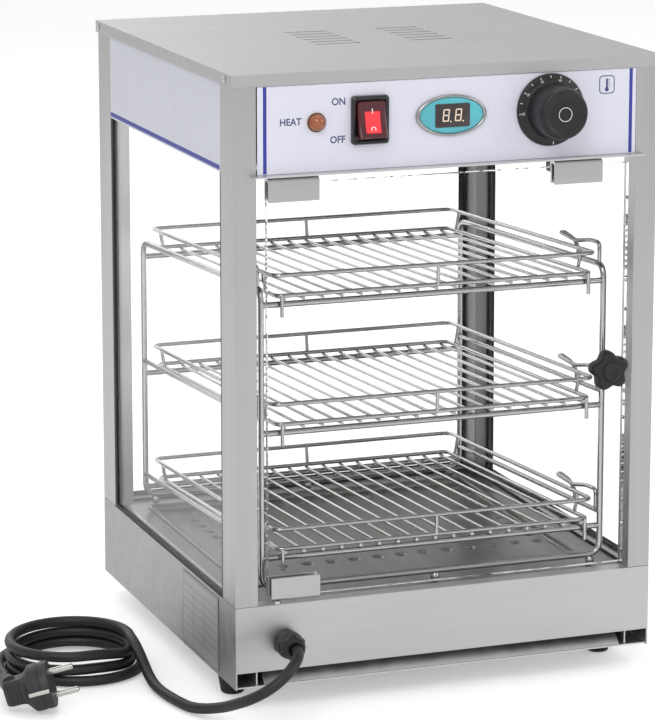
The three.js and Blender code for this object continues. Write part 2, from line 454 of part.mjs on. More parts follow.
put('clip_bottom_left', clip(-145.0, -105.4, DOOR_Z0, -1, 0.3, -0.5, 15.5), 'chrome');
{
  const topZ = DOOR_Z1 + 2.2 + 0.55 * CLIP_D / 2;
  const botZ = DOOR_Z0 - 0.3 - 0.55 * CLIP_D / 2;
  put('pivot_top', bar([PIVOT_X, DOOR_Y, topZ + GAP], [PIVOT_X, DOOR_Y, HEAD_BOTTOM - SHEET - GAP], 2.9, 2.9, 16)
    .add(bar([PIVOT_X, DOOR_Y, topZ + GAP], [PIVOT_X, DOOR_Y, HEAD_BOTTOM + 2.4], 1.5, 1.5, 16)), 'nickel');
  put('pivot_bottom', bar([PIVOT_X, DOOR_Y, BASE_TOP + GAP], [PIVOT_X, DOOR_Y, botZ - GAP], 2.9, 2.9, 16)
    .add(bar([PIVOT_X, DOOR_Y, BASE_TOP - 3.4], [PIVOT_X, DOOR_Y, botZ - GAP], 1.5, 1.5, 16)), 'nickel');
}
// star knob with its screw through the pane
{
  const s = new THREE.Shape(), n = 50;
  for (let i = 0; i < n; i++) {
    const a = (i / n) * Math.PI * 2, r = 14.1 + 2.0 * Math.cos(5 * (a + 0.14)) - 0.2 * Math.cos(10 * (a + 0.14));
    const x = STAR_X + r * Math.sin(a), z = STAR_Z + r * Math.cos(a);
    i ? s.lineTo(x, z) : s.moveTo(x, z);
  }
  s.closePath();
  const y1 = DY0 - 6.6, y0 = y1 - 13.0;
  const k = plateXZ(s, y0, y1).add(bar([STAR_X, DY0 - GAP, STAR_Z], [STAR_X, y1 - 0.5, STAR_Z], 6.6, 8.6, 28))
    .add(bar([STAR_X, y0 - 1.8, STAR_Z], [STAR_X, y0 + 0.5, STAR_Z], 7.0, 8.4, 28))
    .subtract(bar([STAR_X, DY0 + 1, STAR_Z], [STAR_X, y1 - 8, STAR_Z], 2.9, 2.9, 16));
  put('star_knob', k, 'black');
  put('star_knob_screw', bar([STAR_X, DY1 + GAP, STAR_Z], [STAR_X, DY1 + 2.6, STAR_Z], 6.0, 4.2, 24)
    .add(bar([STAR_X, DY1 + 1, STAR_Z], [STAR_X, y1 - 7, STAR_Z], 2.5, 2.5, 16)), 'nickel');
}
// magnetic catch under the panel's rear flange, behind the right-hand clip
put('magnet_catch', box(88, 121, DOOR_Y + CLIP_D / 2 + 1.0, DOOR_Y + CLIP_D / 2 + 12, HEAD_BOTTOM - SHEET - 12, HEAD_BOTTOM - SHEET - GAP), 'black');

// ---------------------------------------------------------------- rack
const rodRear = (z) => z - TILT * (RACK_YB - RACK_YF);
{
  const r = RACK_WIRE / 2, x = RACK_X, topF = 325.8, topB = topF - TILT * (RACK_YB - RACK_YF);
  const seg = (pts) => wire(rounded(pts, 11, 3), r, 8);
  const pieces = [
    seg([[1, RACK_YF, RACK_RAIL_Z], [x, RACK_YF, RACK_RAIL_Z], [x, RACK_YF, topF], [x, RACK_YB, topB], [x, RACK_YB, RACK_RAIL_Z], [1, RACK_YB, RACK_RAIL_Z]]),
    seg([[-1, RACK_YF, RACK_RAIL_Z], [-x, RACK_YF, RACK_RAIL_Z], [-x, RACK_YF, topF], [-x, RACK_YB, topB], [-x, RACK_YB, RACK_RAIL_Z], [-1, RACK_YB, RACK_RAIL_Z]]),
    bar([-6, RACK_YF, RACK_RAIL_Z], [6, RACK_YF, RACK_RAIL_Z], r + 0.5, r + 0.5, 10),
    bar([-6, RACK_YB, RACK_RAIL_Z], [6, RACK_YB, RACK_RAIL_Z], r + 0.5, r + 0.5, 10),
  ];
  for (const z of RODS_Z) {
    pieces.push(bar([-x - 0.4, RACK_YF, z], [x + 0.4, RACK_YF, z], r - 0.13, r - 0.13, 7));
    pieces.push(bar([-x - 0.4, RACK_YB, rodRear(z)], [x + 0.4, RACK_YB, rodRear(z)], r - 0.13, r - 0.13, 7));
    if (z < 300) for (const s of [-1, 1]) pieces.push(bar([s * (x - 0.2), RACK_YF - 0.5, z + 11], [s * (x - 0.2), RACK_YB + 0.5, rodRear(z) + 11], r * 0.8, r * 0.8, 7));
    // tilt stops: a wire loop over each end of the shelf
    for (const s of [-1, 1]) {
      const zr = z < 300 ? z + 11 : topF, at = (y) => zr - TILT * (y - RACK_YF);
      const q = (y, dx, dz) => [s * (x + dx), y, at(y) + dz];
      pieces.push(wire(rounded([q(-139.5, 0, -1), q(-139.5, 0, 16.8), q(-120.5, 0, 16.8), q(-102.5, -3, 14), q(-74.5, -4.6, 17.4), q(-72.5, -1, 17.4), q(-88.5, 0.4, 14.2), q(-99.5, 0, 8), q(-99.5, 0, -1)], 4.5, 1), 1.7, 5));
    }
  }
  for (const s of [-1, 1]) for (const y of [RACK_YF, RACK_YB]) for (const xx of s < 0 ? [-134] : [134, 1.2]) pieces.push(ball([xx, y, DECK_Z + GAP + 3.5], 3.7, 8));
  put('rack', all(pieces), 'chrome');
}
// ---------------------------------------------------------------- shelves
function shelf(zRod) {
  const rr = RAIL_WIRE / 2, fr = FLOOR_WIRE / 2;
  const slope = (y) => -TILT * (y - RACK_YF);
  const zFloor = zRod + RACK_WIRE / 2 + GAP + fr + 0.05, zLow = zFloor + fr + rr - 0.35, zTop = zLow + BASKET_H;
  const up = new THREE.Vector3(0, TILT, 1).normalize();
  const P = (x, y, z) => [x, y, z + slope(y)];
  const lx = SHELF_X - 3.2, ly0 = SHELF_YF + 1.2, ly1 = SHELF_YB - 3.2;
  const ring = (hx, y0, y1, z, rad) => wire(rounded([P(-hx, y0, z), P(hx, y0, z), P(hx, y1, z), P(-hx, y1, z)], rad, 3, true), rr, 6, true, up);
  const pieces = [ring(SHELF_X, SHELF_YF, SHELF_YB, zTop, 9), ring(lx, ly0, ly1, zLow, 7)];
  for (let i = 0; i < FLOOR_WIRES; i++) {
    const x = -lx + 6 + (i * (2 * lx - 12)) / (FLOOR_WIRES - 1);
    pieces.push(bar(P(x, ly0 - 1.4, zFloor), P(x, ly1 + 0.6, zFloor), fr, fr, 5));
  }
  // short posts between the two rails
  for (const [x, y] of [[0, 0], [-1, 1], [1, 1], [-1, -1], [1, -1]].slice(1)) {
    const yy = y < 0 ? SHELF_YF + 26 : SHELF_YB - 22;
    pieces.push(bar(P(x * (lx - 0.2), yy, zLow), P(x * (SHELF_X - 0.6), yy, zTop), 1.5, 1.5, 6));
  }
  pieces.push(bar(P(1.2, ly0 - 0.2, zLow), P(1.2, SHELF_YF + 0.2, zTop), 1.5, 1.5, 6));
  pieces.push(bar(P(1.2, ly1, zLow), P(1.2, SHELF_YB - 0.2, zTop), 1.5, 1.5, 6));
  // pegs that hang in front of the rack's rod
  for (const x of [-127.2, 127.2]) pieces.push(bar(P(x, ly0 - 2.4, zLow + 0.5), [x, ly0 - 2.9, zLow - 16 + slope(ly0)], 1.7, 1.5, 6));
  return all(pieces);
}
put('shelf_lower', shelf(RODS_Z[0]), 'chrome');
put('shelf_middle', shelf(RODS_Z[1]), 'chrome');
put('shelf_upper', shelf(RODS_Z[2]), 'chrome');

// ---------------------------------------------------------------- rating plate (blank)
put('rating_plate', box(-QX - 0.8, -QX - 0.3, -134.5, -45.9, 22.5, 82), 'label');

// ---------------------------------------------------------------- cord
// gland through the base front, with its clamping nut
{
  const hex = (r) => { const s = new THREE.Shape(); for (let i = 0; i < 6; i++) { const a = (i + 0.5) * Math.PI / 3; const p = [GLAND_X + r * Math.cos(a), GLAND_Z + r * Math.sin(a)]; i ? s.lineTo(...p) : s.moveTo(...p); } s.closePath(); return s; };
  put('cable_gland', plateXZ(hex(11.4), FY - 0.0 - 5.0, -QY - GAP)
    .add(bar([GLAND_X, -QY - 1, GLAND_Z], [GLAND_X, -QY + 9, GLAND_Z], 7.0, 7.0, 24))
    .add(bar([GLAND_X, FY - 4, GLAND_Z], [GLAND_X, FY - 14, GLAND_Z], 7.0, 7.0, 24))
    .subtract(bar([GLAND_X, FY - 20, GLAND_Z], [GLAND_X, -QY + 12, GLAND_Z], 4.8, 4.8, 20)), 'black');
  put('gland_nut', bar([GLAND_X, FY - 5.4, GLAND_Z], [GLAND_X, FY - 16, GLAND_Z], 10.8, 10.5, 20)
    .add(bar([GLAND_X, FY - 15.5, GLAND_Z], [GLAND_X, FY - 22, GLAND_Z], 10.0, 6.9, 20))
    .subtract(bar([GLAND_X, FY - 5, GLAND_Z], [GLAND_X, FY - 14.4, GLAND_Z], 7.5, 7.5, 24))
    .subtract(bar([GLAND_X, FY - 10, GLAND_Z], [GLAND_X, FY - 26, GLAND_Z], 4.8, 4.8, 16)), 'black');
}
// route of the cord's middle line, gland to coil
const CR = CORD_D / 2;
const ROUTE = [
  [-132.6, -184.5, 55.0], [-132.6, -194.0, 55.0], [-132.6, -202.0, 55.0], [-136.8, -214.3, 54.0], [-146.0, -224.6, 49.0],
  [-156.5, -229.3, 42.2], [-167.6, -227.6, 34.6], [-177.6, -219.6, 27.2], [-183.3, -206.5, 20.6], [-186.9, -192.8, 14.6],
  [-192.0, -180.0, 9.9], [-198.4, -168.0, 6.6], [-203.8, -155.6, 4.7], [-207.5, -142.6, 4.5], [-210.3, -129.0, 4.5],
  [-212.7, -113.7, 4.7], [-214.2, -98.0, 5.9], [-214.2, -83.0, 8.9], [-213.6, -70.0, 12.9],
];
{
  const curve = new THREE.CatmullRomCurve3(ROUTE.map((p) => new THREE.Vector3(...p)), false, 'centripetal');
  const s = new THREE.Shape();
  for (let i = 0; i < 10; i++) { const a = (i / 10) * Math.PI * 2; i ? s.lineTo(CR * Math.cos(a), CR * Math.sin(a)) : s.moveTo(CR, 0); }
  s.closePath();
  const g = new THREE.ExtrudeGeometry(s, { steps: 30, bevelEnabled: false, extrudePath: curve });
  put('cord_run', solid(g), 'rubber');
}
const COIL = [-259, -15, 48];   // centre x, y and middle radius of the coil
{
  const [cx, cy, cr] = COIL;
  const pts = [[cr - 4.4, 0.3], [cr + 12.4, 0.3], [cr + 13.2, 4], [cr + 12.2, 8.4], [cr + 4.9, 9.4], [cr + 4.6, 25], [cr + 3, 28], [cr - 3, 28], [cr - 4.6, 25], [cr - 4.8, 3], [cr - 4.4, 0.3]].map((p) => new THREE.Vector2(p[0], p[1]));
  const g = new THREE.LatheGeometry(pts, 28);
  g.rotateX(Math.PI / 2);
  g.translate(cx, cy, 0);
  put('cord_coil', solid(g), 'rubber');
}
// plug: round moulded drum with the two pins in its face, a square grip behind it
// and a tapered sleeve where the cord goes in. Local axes: d along the pins, u up
// across the face, s sideways.
{
  const A = new THREE.Vector3(0.907, -0.333, 0.259).normalize();
  const U = new THREE.Vector3(-0.243, 0.089, 0.966); U.sub(A.clone().multiplyScalar(U.dot(A))).normalize();
  const S = new THREE.Vector3().crossVectors(A, U), F = [-302, -115.7, 22.5];
  const place = (m) => m.transform([A.x, A.y, A.z, 0, U.x, U.y, U.z, 0, S.x, S.y, S.z, 0, ...F, 1]);
  let body = bar([0, 0, 0], [-16, 0, 0], 18.6, 18.6, 40).add(bar([-15.9, 0, 0], [-20.5, 0, 0], 18.2, 11.5, 40))
    .add(box(-37, -18, -9, 12, -9, 9)).add(bar([-31, 8, 2], [-40, 3.5, -29], 6.6, 5.2, 20));
  body = body.subtract(box(-15.5, -6, 12.6, 17, 12.5, 20)).subtract(box(-15.5, -6, -4, 4, 15.6, 20));
  const hole = (u) => bar([2, u, 0], [-14, u, 0], 2.75, 2.75, 16);
  body = body.subtract(hole(9.5)).subtract(hole(-9.5)).subtract(bar([-40.3, 3.35, -30.03], [-36.8, 5.1, -18], 4.55, 4.55, 16));
  put('plug_body', place(body), 'plug');
  for (const [u, n] of [[9.5, 'upper'], [-9.5, 'lower']]) put(`plug_pin_${n}`, place(bar([18, u, 0], [-13.6, u, 0], 2.4, 2.4, 16).add(bar([17.9, u, 0], [19, u, 0], 2.4, 1.6, 16))), 'nickel');
}

export default part;
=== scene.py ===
import bpy, bmesh, math, json
from mathutils import Vector, Matrix, Quaternion

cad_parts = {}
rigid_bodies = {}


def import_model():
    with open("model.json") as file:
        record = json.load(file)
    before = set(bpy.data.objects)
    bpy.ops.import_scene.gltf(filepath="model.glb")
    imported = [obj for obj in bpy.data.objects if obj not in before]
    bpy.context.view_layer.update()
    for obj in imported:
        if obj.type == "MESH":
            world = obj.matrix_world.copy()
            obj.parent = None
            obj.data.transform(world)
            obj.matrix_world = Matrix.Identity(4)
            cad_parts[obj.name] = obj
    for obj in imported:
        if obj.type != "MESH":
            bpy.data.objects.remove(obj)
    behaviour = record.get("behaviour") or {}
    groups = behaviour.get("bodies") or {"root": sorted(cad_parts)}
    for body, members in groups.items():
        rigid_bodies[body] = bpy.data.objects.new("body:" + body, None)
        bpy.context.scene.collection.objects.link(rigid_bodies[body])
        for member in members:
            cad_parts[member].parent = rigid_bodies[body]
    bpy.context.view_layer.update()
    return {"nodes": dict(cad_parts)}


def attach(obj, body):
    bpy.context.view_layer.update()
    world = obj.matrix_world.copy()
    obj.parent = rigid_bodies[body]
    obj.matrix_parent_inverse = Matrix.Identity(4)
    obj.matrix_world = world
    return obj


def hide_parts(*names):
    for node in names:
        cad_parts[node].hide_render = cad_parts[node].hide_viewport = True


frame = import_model()
N = frame["nodes"]
for o in list(bpy.data.objects):          # the empty start-up scene's own objects
    if o.name in ("Cube", "Light", "Camera") and o.name not in N:
        bpy.data.objects.remove(o)
scene = bpy.context.scene
scene.view_settings.view_transform = "Standard"
scene.view_settings.exposure = 0.0

# ------------------------------------------------------------------ dimensions (mm, as in the CAD source)
Y_ORIGIN = 14.275
def V(x, y, z):
    return Vector((x / 1000.0, (y + Y_ORIGIN) / 1000.0, z / 1000.0))
FF = -176.25                 # face of the control panel's film
PANEL_MID = 456.3
KNOB_X, LAMP_X, SWITCH_X, DISPLAY_X = 82.2, -107.8, -65.6, 0.3
DECK_Z = 82.7
CORD_D = 8.5
CORD_R = CORD_D / 2

# ------------------------------------------------------------------ camera
cam_data = bpy.data.cameras.new("camera")
cam = bpy.data.objects.new("camera", cam_data)
scene.collection.objects.link(cam)
cam.location = (-0.9687, (-2546.1 + Y_ORIGIN) / 1000.0, 0.8463)
cam.rotation_euler = (math.radians(90 - 11.327), 0.0, math.radians(-20.153))
cam_data.sensor_width = 36.0
cam_data.lens = 3417.0 / 720 * 36
cam_data.shift_x = 0.0
cam_data.shift_y = -0.12
cam_data.clip_start = 0.05
cam_data.clip_end = 50
scene.camera = cam

# ------------------------------------------------------------------ node helpers
def material(name):
    m = bpy.data.materials.new(name)
    m.use_nodes = True
    nt = m.node_tree
    nt.nodes.clear()
    out = nt.nodes.new("ShaderNodeOutputMaterial")
    bsdf = nt.nodes.new("ShaderNodeBsdfPrincipled")
    nt.links.new(bsdf.outputs[0], out.inputs["Surface"])
    return m, nt, bsdf, out

def coords(nt, scale=(1, 1, 1), kind="Object", rot=(0, 0, 0), loc=(0, 0, 0)):
    tc = nt.nodes.new("ShaderNodeTexCoord")
    mp = nt.nodes.new("ShaderNodeMapping")
    mp.inputs["Scale"].default_value = scale
    mp.inputs["Rotation"].default_value = rot
    mp.inputs["Location"].default_value = loc
    nt.links.new(tc.outputs[kind], mp.inputs["Vector"])
    return mp.outputs["Vector"]

def noise(nt, vec, scale=1.0, detail=3.0, rough=0.5, distort=0.0):
    n = nt.nodes.new("ShaderNodeTexNoise")
    n.inputs["Scale"].default_value = scale
    n.inputs["Detail"].default_value = detail
    n.inputs["Roughness"].default_value = rough
    n.inputs["Distortion"].default_value = distort
    nt.links.new(vec, n.inputs["Vector"])
    return n.outputs["Fac"]

def remap(nt, fac, a, b, lo=0.3, hi=0.7):
    n = nt.nodes.new("ShaderNodeMapRange")
    n.inputs["From Min"].default_value = lo
    n.inputs["From Max"].default_value = hi
    n.inputs["To Min"].default_value = a
    n.inputs["To Max"].default_value = b
    nt.links.new(fac, n.inputs["Value"])
    return n.outputs["Result"]

def mix(nt, fac, c1, c2):
    n = nt.nodes.new("ShaderNodeMix")
    n.data_type = "RGBA"
    if hasattr(fac, "is_linked"):
        nt.links.new(fac, n.inputs[0])
    else:
        n.inputs[0].default_value = fac
    for i, c in ((6, c1), (7, c2)):
        if hasattr(c, "is_linked"):
            nt.links.new(c, n.inputs[i])
        else:
            n.inputs[i].default_value = (*c, 1.0)
    return n.outputs[2]

def math_node(nt, op, a, b=0.0):
    n = nt.nodes.new("ShaderNodeMath")
    n.operation = op
    for i, v in ((0, a), (1, b)):
        if hasattr(v, "is_linked"):
            nt.links.new(v, n.inputs[i])
        else:
            n.inputs[i].default_value = v
    return n.outputs[0]

def bump(nt, height, strength=0.1, dist=0.0002, normal=None):
    n = nt.nodes.new("ShaderNodeBump")
    n.inputs["Strength"].default_value = strength
    n.inputs["Distance"].default_value = dist
    nt.links.new(height, n.inputs["Height"])
    if normal is not None:
        nt.links.new(normal, n.inputs["Normal"])
    return n.outputs["Normal"]

def brushed(name, base, rough, grain="x", streak=0.06, metallic=1.0, relief=1.0, spec=0.5):
    """Brushed sheet metal: fine streaks along one axis, a broader uneven sheen over them."""
    m, nt, b, _ = material(name)
    thin = {"x": (6, 900, 900), "y": (900, 6, 900), "z": (900, 900, 6)}[grain]
    wide = {"x": (1.5, 90, 90), "y": (90, 1.5, 90), "z": (90, 90, 1.5)}[grain]
    f = noise(nt, coords(nt, thin), 1.0, 4, 0.6)
    w = noise(nt, coords(nt, wide), 1.0, 3, 0.5)
    c = noise(nt, coords(nt, (9, 9, 9)), 1.0, 2, 0.5)
    lo = tuple(v * (1 - streak) for v in base)
    hi = tuple(min(1, v * (1 + streak * 0.8)) for v in base)
    col = mix(nt, remap(nt, f, 0, 1), lo, hi)
    col2 = mix(nt, remap(nt, c, 0, 1, 0.35, 0.65), tuple(v * 0.965 for v in base), tuple(min(1, v * 1.02) for v in base))
    mm = nt.nodes.new("ShaderNodeMix"); mm.data_type = "RGBA"; mm.inputs[0].default_value = 0.5
    nt.links.new(col, mm.inputs[6]); nt.links.new(col2, mm.inputs[7])
    nt.links.new(mm.outputs[2], b.inputs["Base Color"])
    r1 = remap(nt, w, rough - 0.05, rough + 0.07)
    nt.links.new(r1, b.inputs["Roughness"])
    b.inputs["Metallic"].default_value = metallic
    b.inputs["Specular IOR Level"].default_value = spec
    n1 = bump(nt, f, 0.16 * relief, 0.00006)
    n2 = bump(nt, w, 0.05 * relief, 0.0004, n1)
    nt.links.new(n2, b.inputs["Normal"])
    return m

def plastic(name, base, rough, grain=900.0, strength=0.12, coat=0.0, spec=0.5, vary=0.25):
    """Moulded plastic or rubber: fine texture, slight colour and gloss variation."""
    m, nt, b, _ = material(name)
    f = noise(nt, coords(nt), grain, 3, 0.6)
    c = noise(nt, coords(nt), 28.0, 3, 0.55)
    nt.links.new(mix(nt, remap(nt, c, 0, 1), tuple(v * (1 - vary) for v in base), tuple(v * (1 + vary) for v in base)), b.inputs["Base Color"])
    nt.links.new(remap(nt, f, rough - 0.06, rough + 0.08), b.inputs["Roughness"])
    b.inputs["Specular IOR Level"].default_value = spec
    b.inputs["Coat Weight"].default_value = coat
    b.inputs["Coat Roughness"].default_value = 0.15
    nt.links.new(bump(nt, f, strength, 0.00012), b.inputs["Normal"])
    return m

# ------------------------------------------------------------------ materials
STEEL_X = brushed("steel_brushed_x", (0.70, 0.70, 0.70), 0.42, "x", 0.05)
STEEL_Z = brushed("steel_brushed_z", (0.54, 0.537, 0.535), 0.36, "z", 0.06)
STEEL_SIDE = brushed("steel_side", (0.74, 0.74, 0.74), 0.40, "y", 0.05)
STEEL_DARK = brushed("steel_inner", (0.25, 0.245, 0.235), 0.34, "y", 0.10)
CLIP_MAT = brushed("steel_clip", (0.56, 0.56, 0.56), 0.30, "x", 0.05)
CHROME = brushed("chrome_wire", (0.44, 0.436, 0.425), 0.15, "x", 0.05, relief=0.25)
NICKEL = brushed("nickel", (0.66, 0.645, 0.61), 0.20, "x", 0.04, relief=0.12)
RUBBER = plastic("rubber_black", (0.016, 0.016, 0.017), 0.62, 1100, 0.2)
SEAL = plastic("gasket_rubber", (0.02, 0.02, 0.021), 0.55, 800, 0.15)
CORD_MAT = plastic("cord_jacket", (0.012, 0.012, 0.013), 0.46, 700, 0.12)
BLACK = plastic("black_moulded", (0.009, 0.009, 0.010), 0.40, 1200, 0.12)
BEZEL = plastic("black_gloss", (0.010, 0.010, 0.011), 0.16, 500, 0.03, coat=0.3)
STAR = plastic("star_knob_moulded", (0.009, 0.009, 0.010), 0.44, 1500, 0.2)
PLUG = plastic("plug_moulded", (0.030, 0.030, 0.032), 0.46, 900, 0.16)
TEAL = plastic("display_teal", (0.10, 0.50, 0.58), 0.24, 300, 0.03, coat=0.4, vary=0.12)
WINDOW = plastic("display_window", (0.035, 0.022, 0.024), 0.12, 300, 0.02, coat=0.6)
NAVY = plastic("print_navy", (0.035, 0.045, 0.33), 0.45, 1500, 0.05, vary=0.10)
INK = plastic("print_ink", (0.055, 0.06, 0.17), 0.5, 1500, 0.05, vary=0.10)
WHITE = plastic("print_white", (0.80, 0.80, 0.79), 0.5, 1500, 0.05, vary=0.06)
FILM = plastic("panel_film_print", (0.76, 0.76, 0.86), 0.34, 240, 0.03, coat=0.15, vary=0.015)
SIDE_FILM = plastic("header_film_print", (0.64, 0.65, 0.71), 0.36, 240, 0.03, coat=0.1, vary=0.02)
def rear_post_steel(name, x_sign):
    """Rear posts: the faces turned to the chamber get painted shade, a light strip between dark edges."""
    m = brushed(name, (0.54, 0.537, 0.535), 0.36, "z", 0.06)
    nt = m.node_tree
    b = next(n for n in nt.nodes if n.type == "BSDF_PRINCIPLED")
    src = b.inputs["Base Color"].links[0].from_socket
    tc = nt.nodes.new("ShaderNodeTexCoord")
    sp_ = nt.nodes.new("ShaderNodeSeparateXYZ")
    nt.links.new(tc.outputs["Object"], sp_.inputs[0])
    ax_ = math_node(nt, "ABSOLUTE", sp_.outputs["X"])
    # painted shade: faces within |x| 172.5 mm, the ones turned to the chamber, are picked out for darkening
    inner = remap(nt, ax_, 1.0, 0.0, 0.1725, 0.1731)
    mx = nt.nodes.new("ShaderNodeMix"); mx.data_type = "RGBA"; mx.blend_type = "MULTIPLY"
    nt.links.new(inner, mx.inputs[0]); nt.links.new(src, mx.inputs[6])
    # painted shade colour multiplied onto the chamber-facing faces
    mx.inputs[7].default_value = (0.34, 0.34, 0.345, 1)
    nt.links.new(mx.outputs[2], b.inputs["Base Color"])
    return m
def cover_steel():
    """The cover's sheet; below its outer skin, inside the slots, it is in shade."""
    m = brushed("steel_cover", (0.55, 0.55, 0.555), 0.50, "x", 0.03)
    nt = m.node_tree
    b = next(n for n in nt.nodes if n.type == "BSDF_PRINCIPLED")
    src = b.inputs["Base Color"].links[0].from_socket
    tc = nt.nodes.new("ShaderNodeTexCoord")
    sp_ = nt.nodes.new("ShaderNodeSeparateXYZ")
    nt.links.new(tc.outputs["Object"], sp_.inputs[0])
    deep = remap(nt, sp_.outputs["Z"], 1.0, 0.0, 0.4942, 0.4946)
    mid = remap(nt, math_node(nt, "ABSOLUTE", sp_.outputs["X"]), 1.0, 0.0, 0.150, 0.152)
    off = nt.nodes.new("ShaderNodeMath"); off.operation = "SUBTRACT"  # the front and rear flanges stay bright
    nt.links.new(sp_.outputs["Y"], off.inputs[0]); off.inputs[1].default_value = 0.0143
    within = remap(nt, math_node(nt, "ABSOLUTE", off.outputs[0]), 1.0, 0.0, 0.150, 0.152)
    mid = math_node(nt, "MULTIPLY", mid, within)
    mx = nt.nodes.new("ShaderNodeMix"); mx.data_type = "RGBA"; mx.blend_type = "MULTIPLY"
    nt.links.new(math_node(nt, "MULTIPLY", deep, mid), mx.inputs[0]); nt.links.new(src, mx.inputs[6])
    mx.inputs[7].default_value = (0.10, 0.10, 0.10, 1)
    nt.links.new(mx.outputs[2], b.inputs["Base Color"])
    return m
COVER = cover_steel()
REAR_POST_PAINTED_SHADE = rear_post_steel("steel_rear_post_painted_shade", 1)
LABEL = brushed("label_foil", (0.46, 0.46, 0.47), 0.42, "y", 0.08, metallic=0.6)
LABEL_INK = plastic("label_ink", (0.16, 0.16, 0.17), 0.5, 1500, 0.05, vary=0.1)

def glass(name, tint=(0.992, 0.996, 0.995)):
    """Clear pane with faint smears; shadow rays pass, so the chamber is lit through it."""
    m, nt, b, out = material(name)
    c = noise(nt, coords(nt, (7, 7, 7)), 1.0, 4, 0.6, 0.4)
    f = noise(nt, coords(nt, (60, 60, 60)), 1.0, 3, 0.5)
    nt.links.new(mix(nt, remap(nt, c, 0, 1), tuple(v * 0.985 for v in tint), tint), b.inputs["Base Color"])
    nt.links.new(remap(nt, c, 0.0, 0.018, 0.4, 0.8), b.inputs["Roughness"])
    b.inputs["Transmission Weight"].default_value = 1.0
    b.inputs["IOR"].default_value = 1.14
    b.inputs["Specular IOR Level"].default_value = 0.5
    nt.links.new(bump(nt, f, 0.01, 0.0001), b.inputs["Normal"])
    tr = nt.nodes.new("ShaderNodeBsdfTransparent")
    tr.inputs[0].default_value = (*[v * 0.985 for v in tint], 1.0)
    lp = nt.nodes.new("ShaderNodeLightPath")
    ms = nt.nodes.new("ShaderNodeMixShader")
    nt.links.new(lp.outputs["Is Shadow Ray"], ms.inputs[0])
    nt.links.new(b.outputs[0], ms.inputs[1])
    nt.links.new(tr.outputs[0], ms.inputs[2])
    nt.links.new(ms.outputs[0], out.inputs["Surface"])
    return m
GLASS = glass("clear_glass")

def base_steel():
    """Brushed like the rest; painted shade darkens the two sides against the front panel."""
    m = brushed("steel_base", (0.63, 0.63, 0.63), 0.42, "x", 0.05)
    nt = m.node_tree
    b = next(n for n in nt.nodes if n.type == "BSDF_PRINCIPLED")
    src = b.inputs["Base Color"].links[0].from_socket
    tc = nt.nodes.new("ShaderNodeTexCoord")
    sp_ = nt.nodes.new("ShaderNodeSeparateXYZ")
    nt.links.new(tc.outputs["Object"], sp_.inputs[0])
    ax_ = math_node(nt, "ABSOLUTE", sp_.outputs["X"])
    # painted shade: faces beyond |x| 173 mm, the two sides, are picked out for darkening
    f = remap(nt, ax_, 0.0, 1.0, 0.1729, 0.17325)
    mx = nt.nodes.new("ShaderNodeMix"); mx.data_type = "RGBA"; mx.blend_type = "MULTIPLY"
    nt.links.new(f, mx.inputs[0]); nt.links.new(src, mx.inputs[6])
    # painted shade colour multiplied onto the sides
    mx.inputs[7].default_value = (0.74, 0.74, 0.74, 1)
    nt.links.new(mx.outputs[2], b.inputs["Base Color"])
    return m
BASE_STEEL_SHADED_SIDES = base_steel()

def rocker_red():
    """Translucent dark red moulding, lit from inside round its middle."""
    m, nt, b, _ = material("rocker_red")
    tc = nt.nodes.new("ShaderNodeTexCoord")
    sep = nt.nodes.new("ShaderNodeSeparateXYZ")
    nt.links.new(tc.outputs["Object"], sep.inputs[0])
    cx, cz = SWITCH_X / 1000.0, (PANEL_MID - 1.0) / 1000.0
    dx = math_node(nt, "ABSOLUTE", math_node(nt, "SUBTRACT", sep.outputs["X"], cx))
    dz = math_node(nt, "ABSOLUTE", math_node(nt, "SUBTRACT", sep.outputs["Z"], cz))
    fx = remap(nt, dx, 1.0, 0.0, 0.0054, 0.0063)
    fz = remap(nt, dz, 1.0, 0.0, 0.0073, 0.0083)
    lit = math_node(nt, "MULTIPLY", fx, fz)
    n = noise(nt, coords(nt), 260, 2, 0.5)
    dark = mix(nt, remap(nt, n, 0, 1), (0.055, 0.005, 0.010), (0.085, 0.008, 0.014))
    nt.links.new(mix(nt, lit, dark, (0.62, 0.02, 0.03)), b.inputs["Base Color"])
    nt.links.new(remap(nt, n, 0.12, 0.20), b.inputs["Roughness"])
    b.inputs["Coat Weight"].default_value = 0.5
    b.inputs["Coat Roughness"].default_value = 0.08
    nt.links.new(mix(nt, lit, (0.012, 0.0, 0.001), (1.0, 0.03, 0.04)), b.inputs["Emission Color"])
    b.inputs["Emission Strength"].default_value = 0.75
    nt.links.new(bump(nt, n, 0.03, 0.0001), b.inputs["Normal"])
    return m
RED = rocker_red()

def amber():
    m, nt, b, _ = material("lamp_amber")
    n = noise(nt, coords(nt), 420, 3, 0.5)
    nt.links.new(mix(nt, remap(nt, n, 0, 1), (0.28, 0.075, 0.02), (0.40, 0.11, 0.03)), b.inputs["Base Color"])
    nt.links.new(remap(nt, n, 0.10, 0.2), b.inputs["Roughness"])
    b.inputs["Coat Weight"].default_value = 0.6
    b.inputs["Coat Roughness"].default_value = 0.05
    nt.links.new(bump(nt, n, 0.06, 0.0001), b.inputs["Normal"])
    return m
AMBER = amber()
AMBER_RING = plastic("lamp_ring", (0.16, 0.075, 0.045), 0.3, 500, 0.04, coat=0.3)

def digit_mat():
    m, nt, b, _ = material("display_digit")
    n = noise(nt, coords(nt), 300, 2, 0.5)
    nt.links.new(mix(nt, remap(nt, n, 0, 1), (0.66, 0.54, 0.42), (0.74, 0.60, 0.48)), b.inputs["Base Color"])
    b.inputs["Emission Color"].default_value = (0.85, 0.70, 0.52, 1)
    b.inputs["Emission Strength"].default_value = 0.35
    b.inputs["Roughness"].default_value = 0.4
    return m
DIGIT = digit_mat()

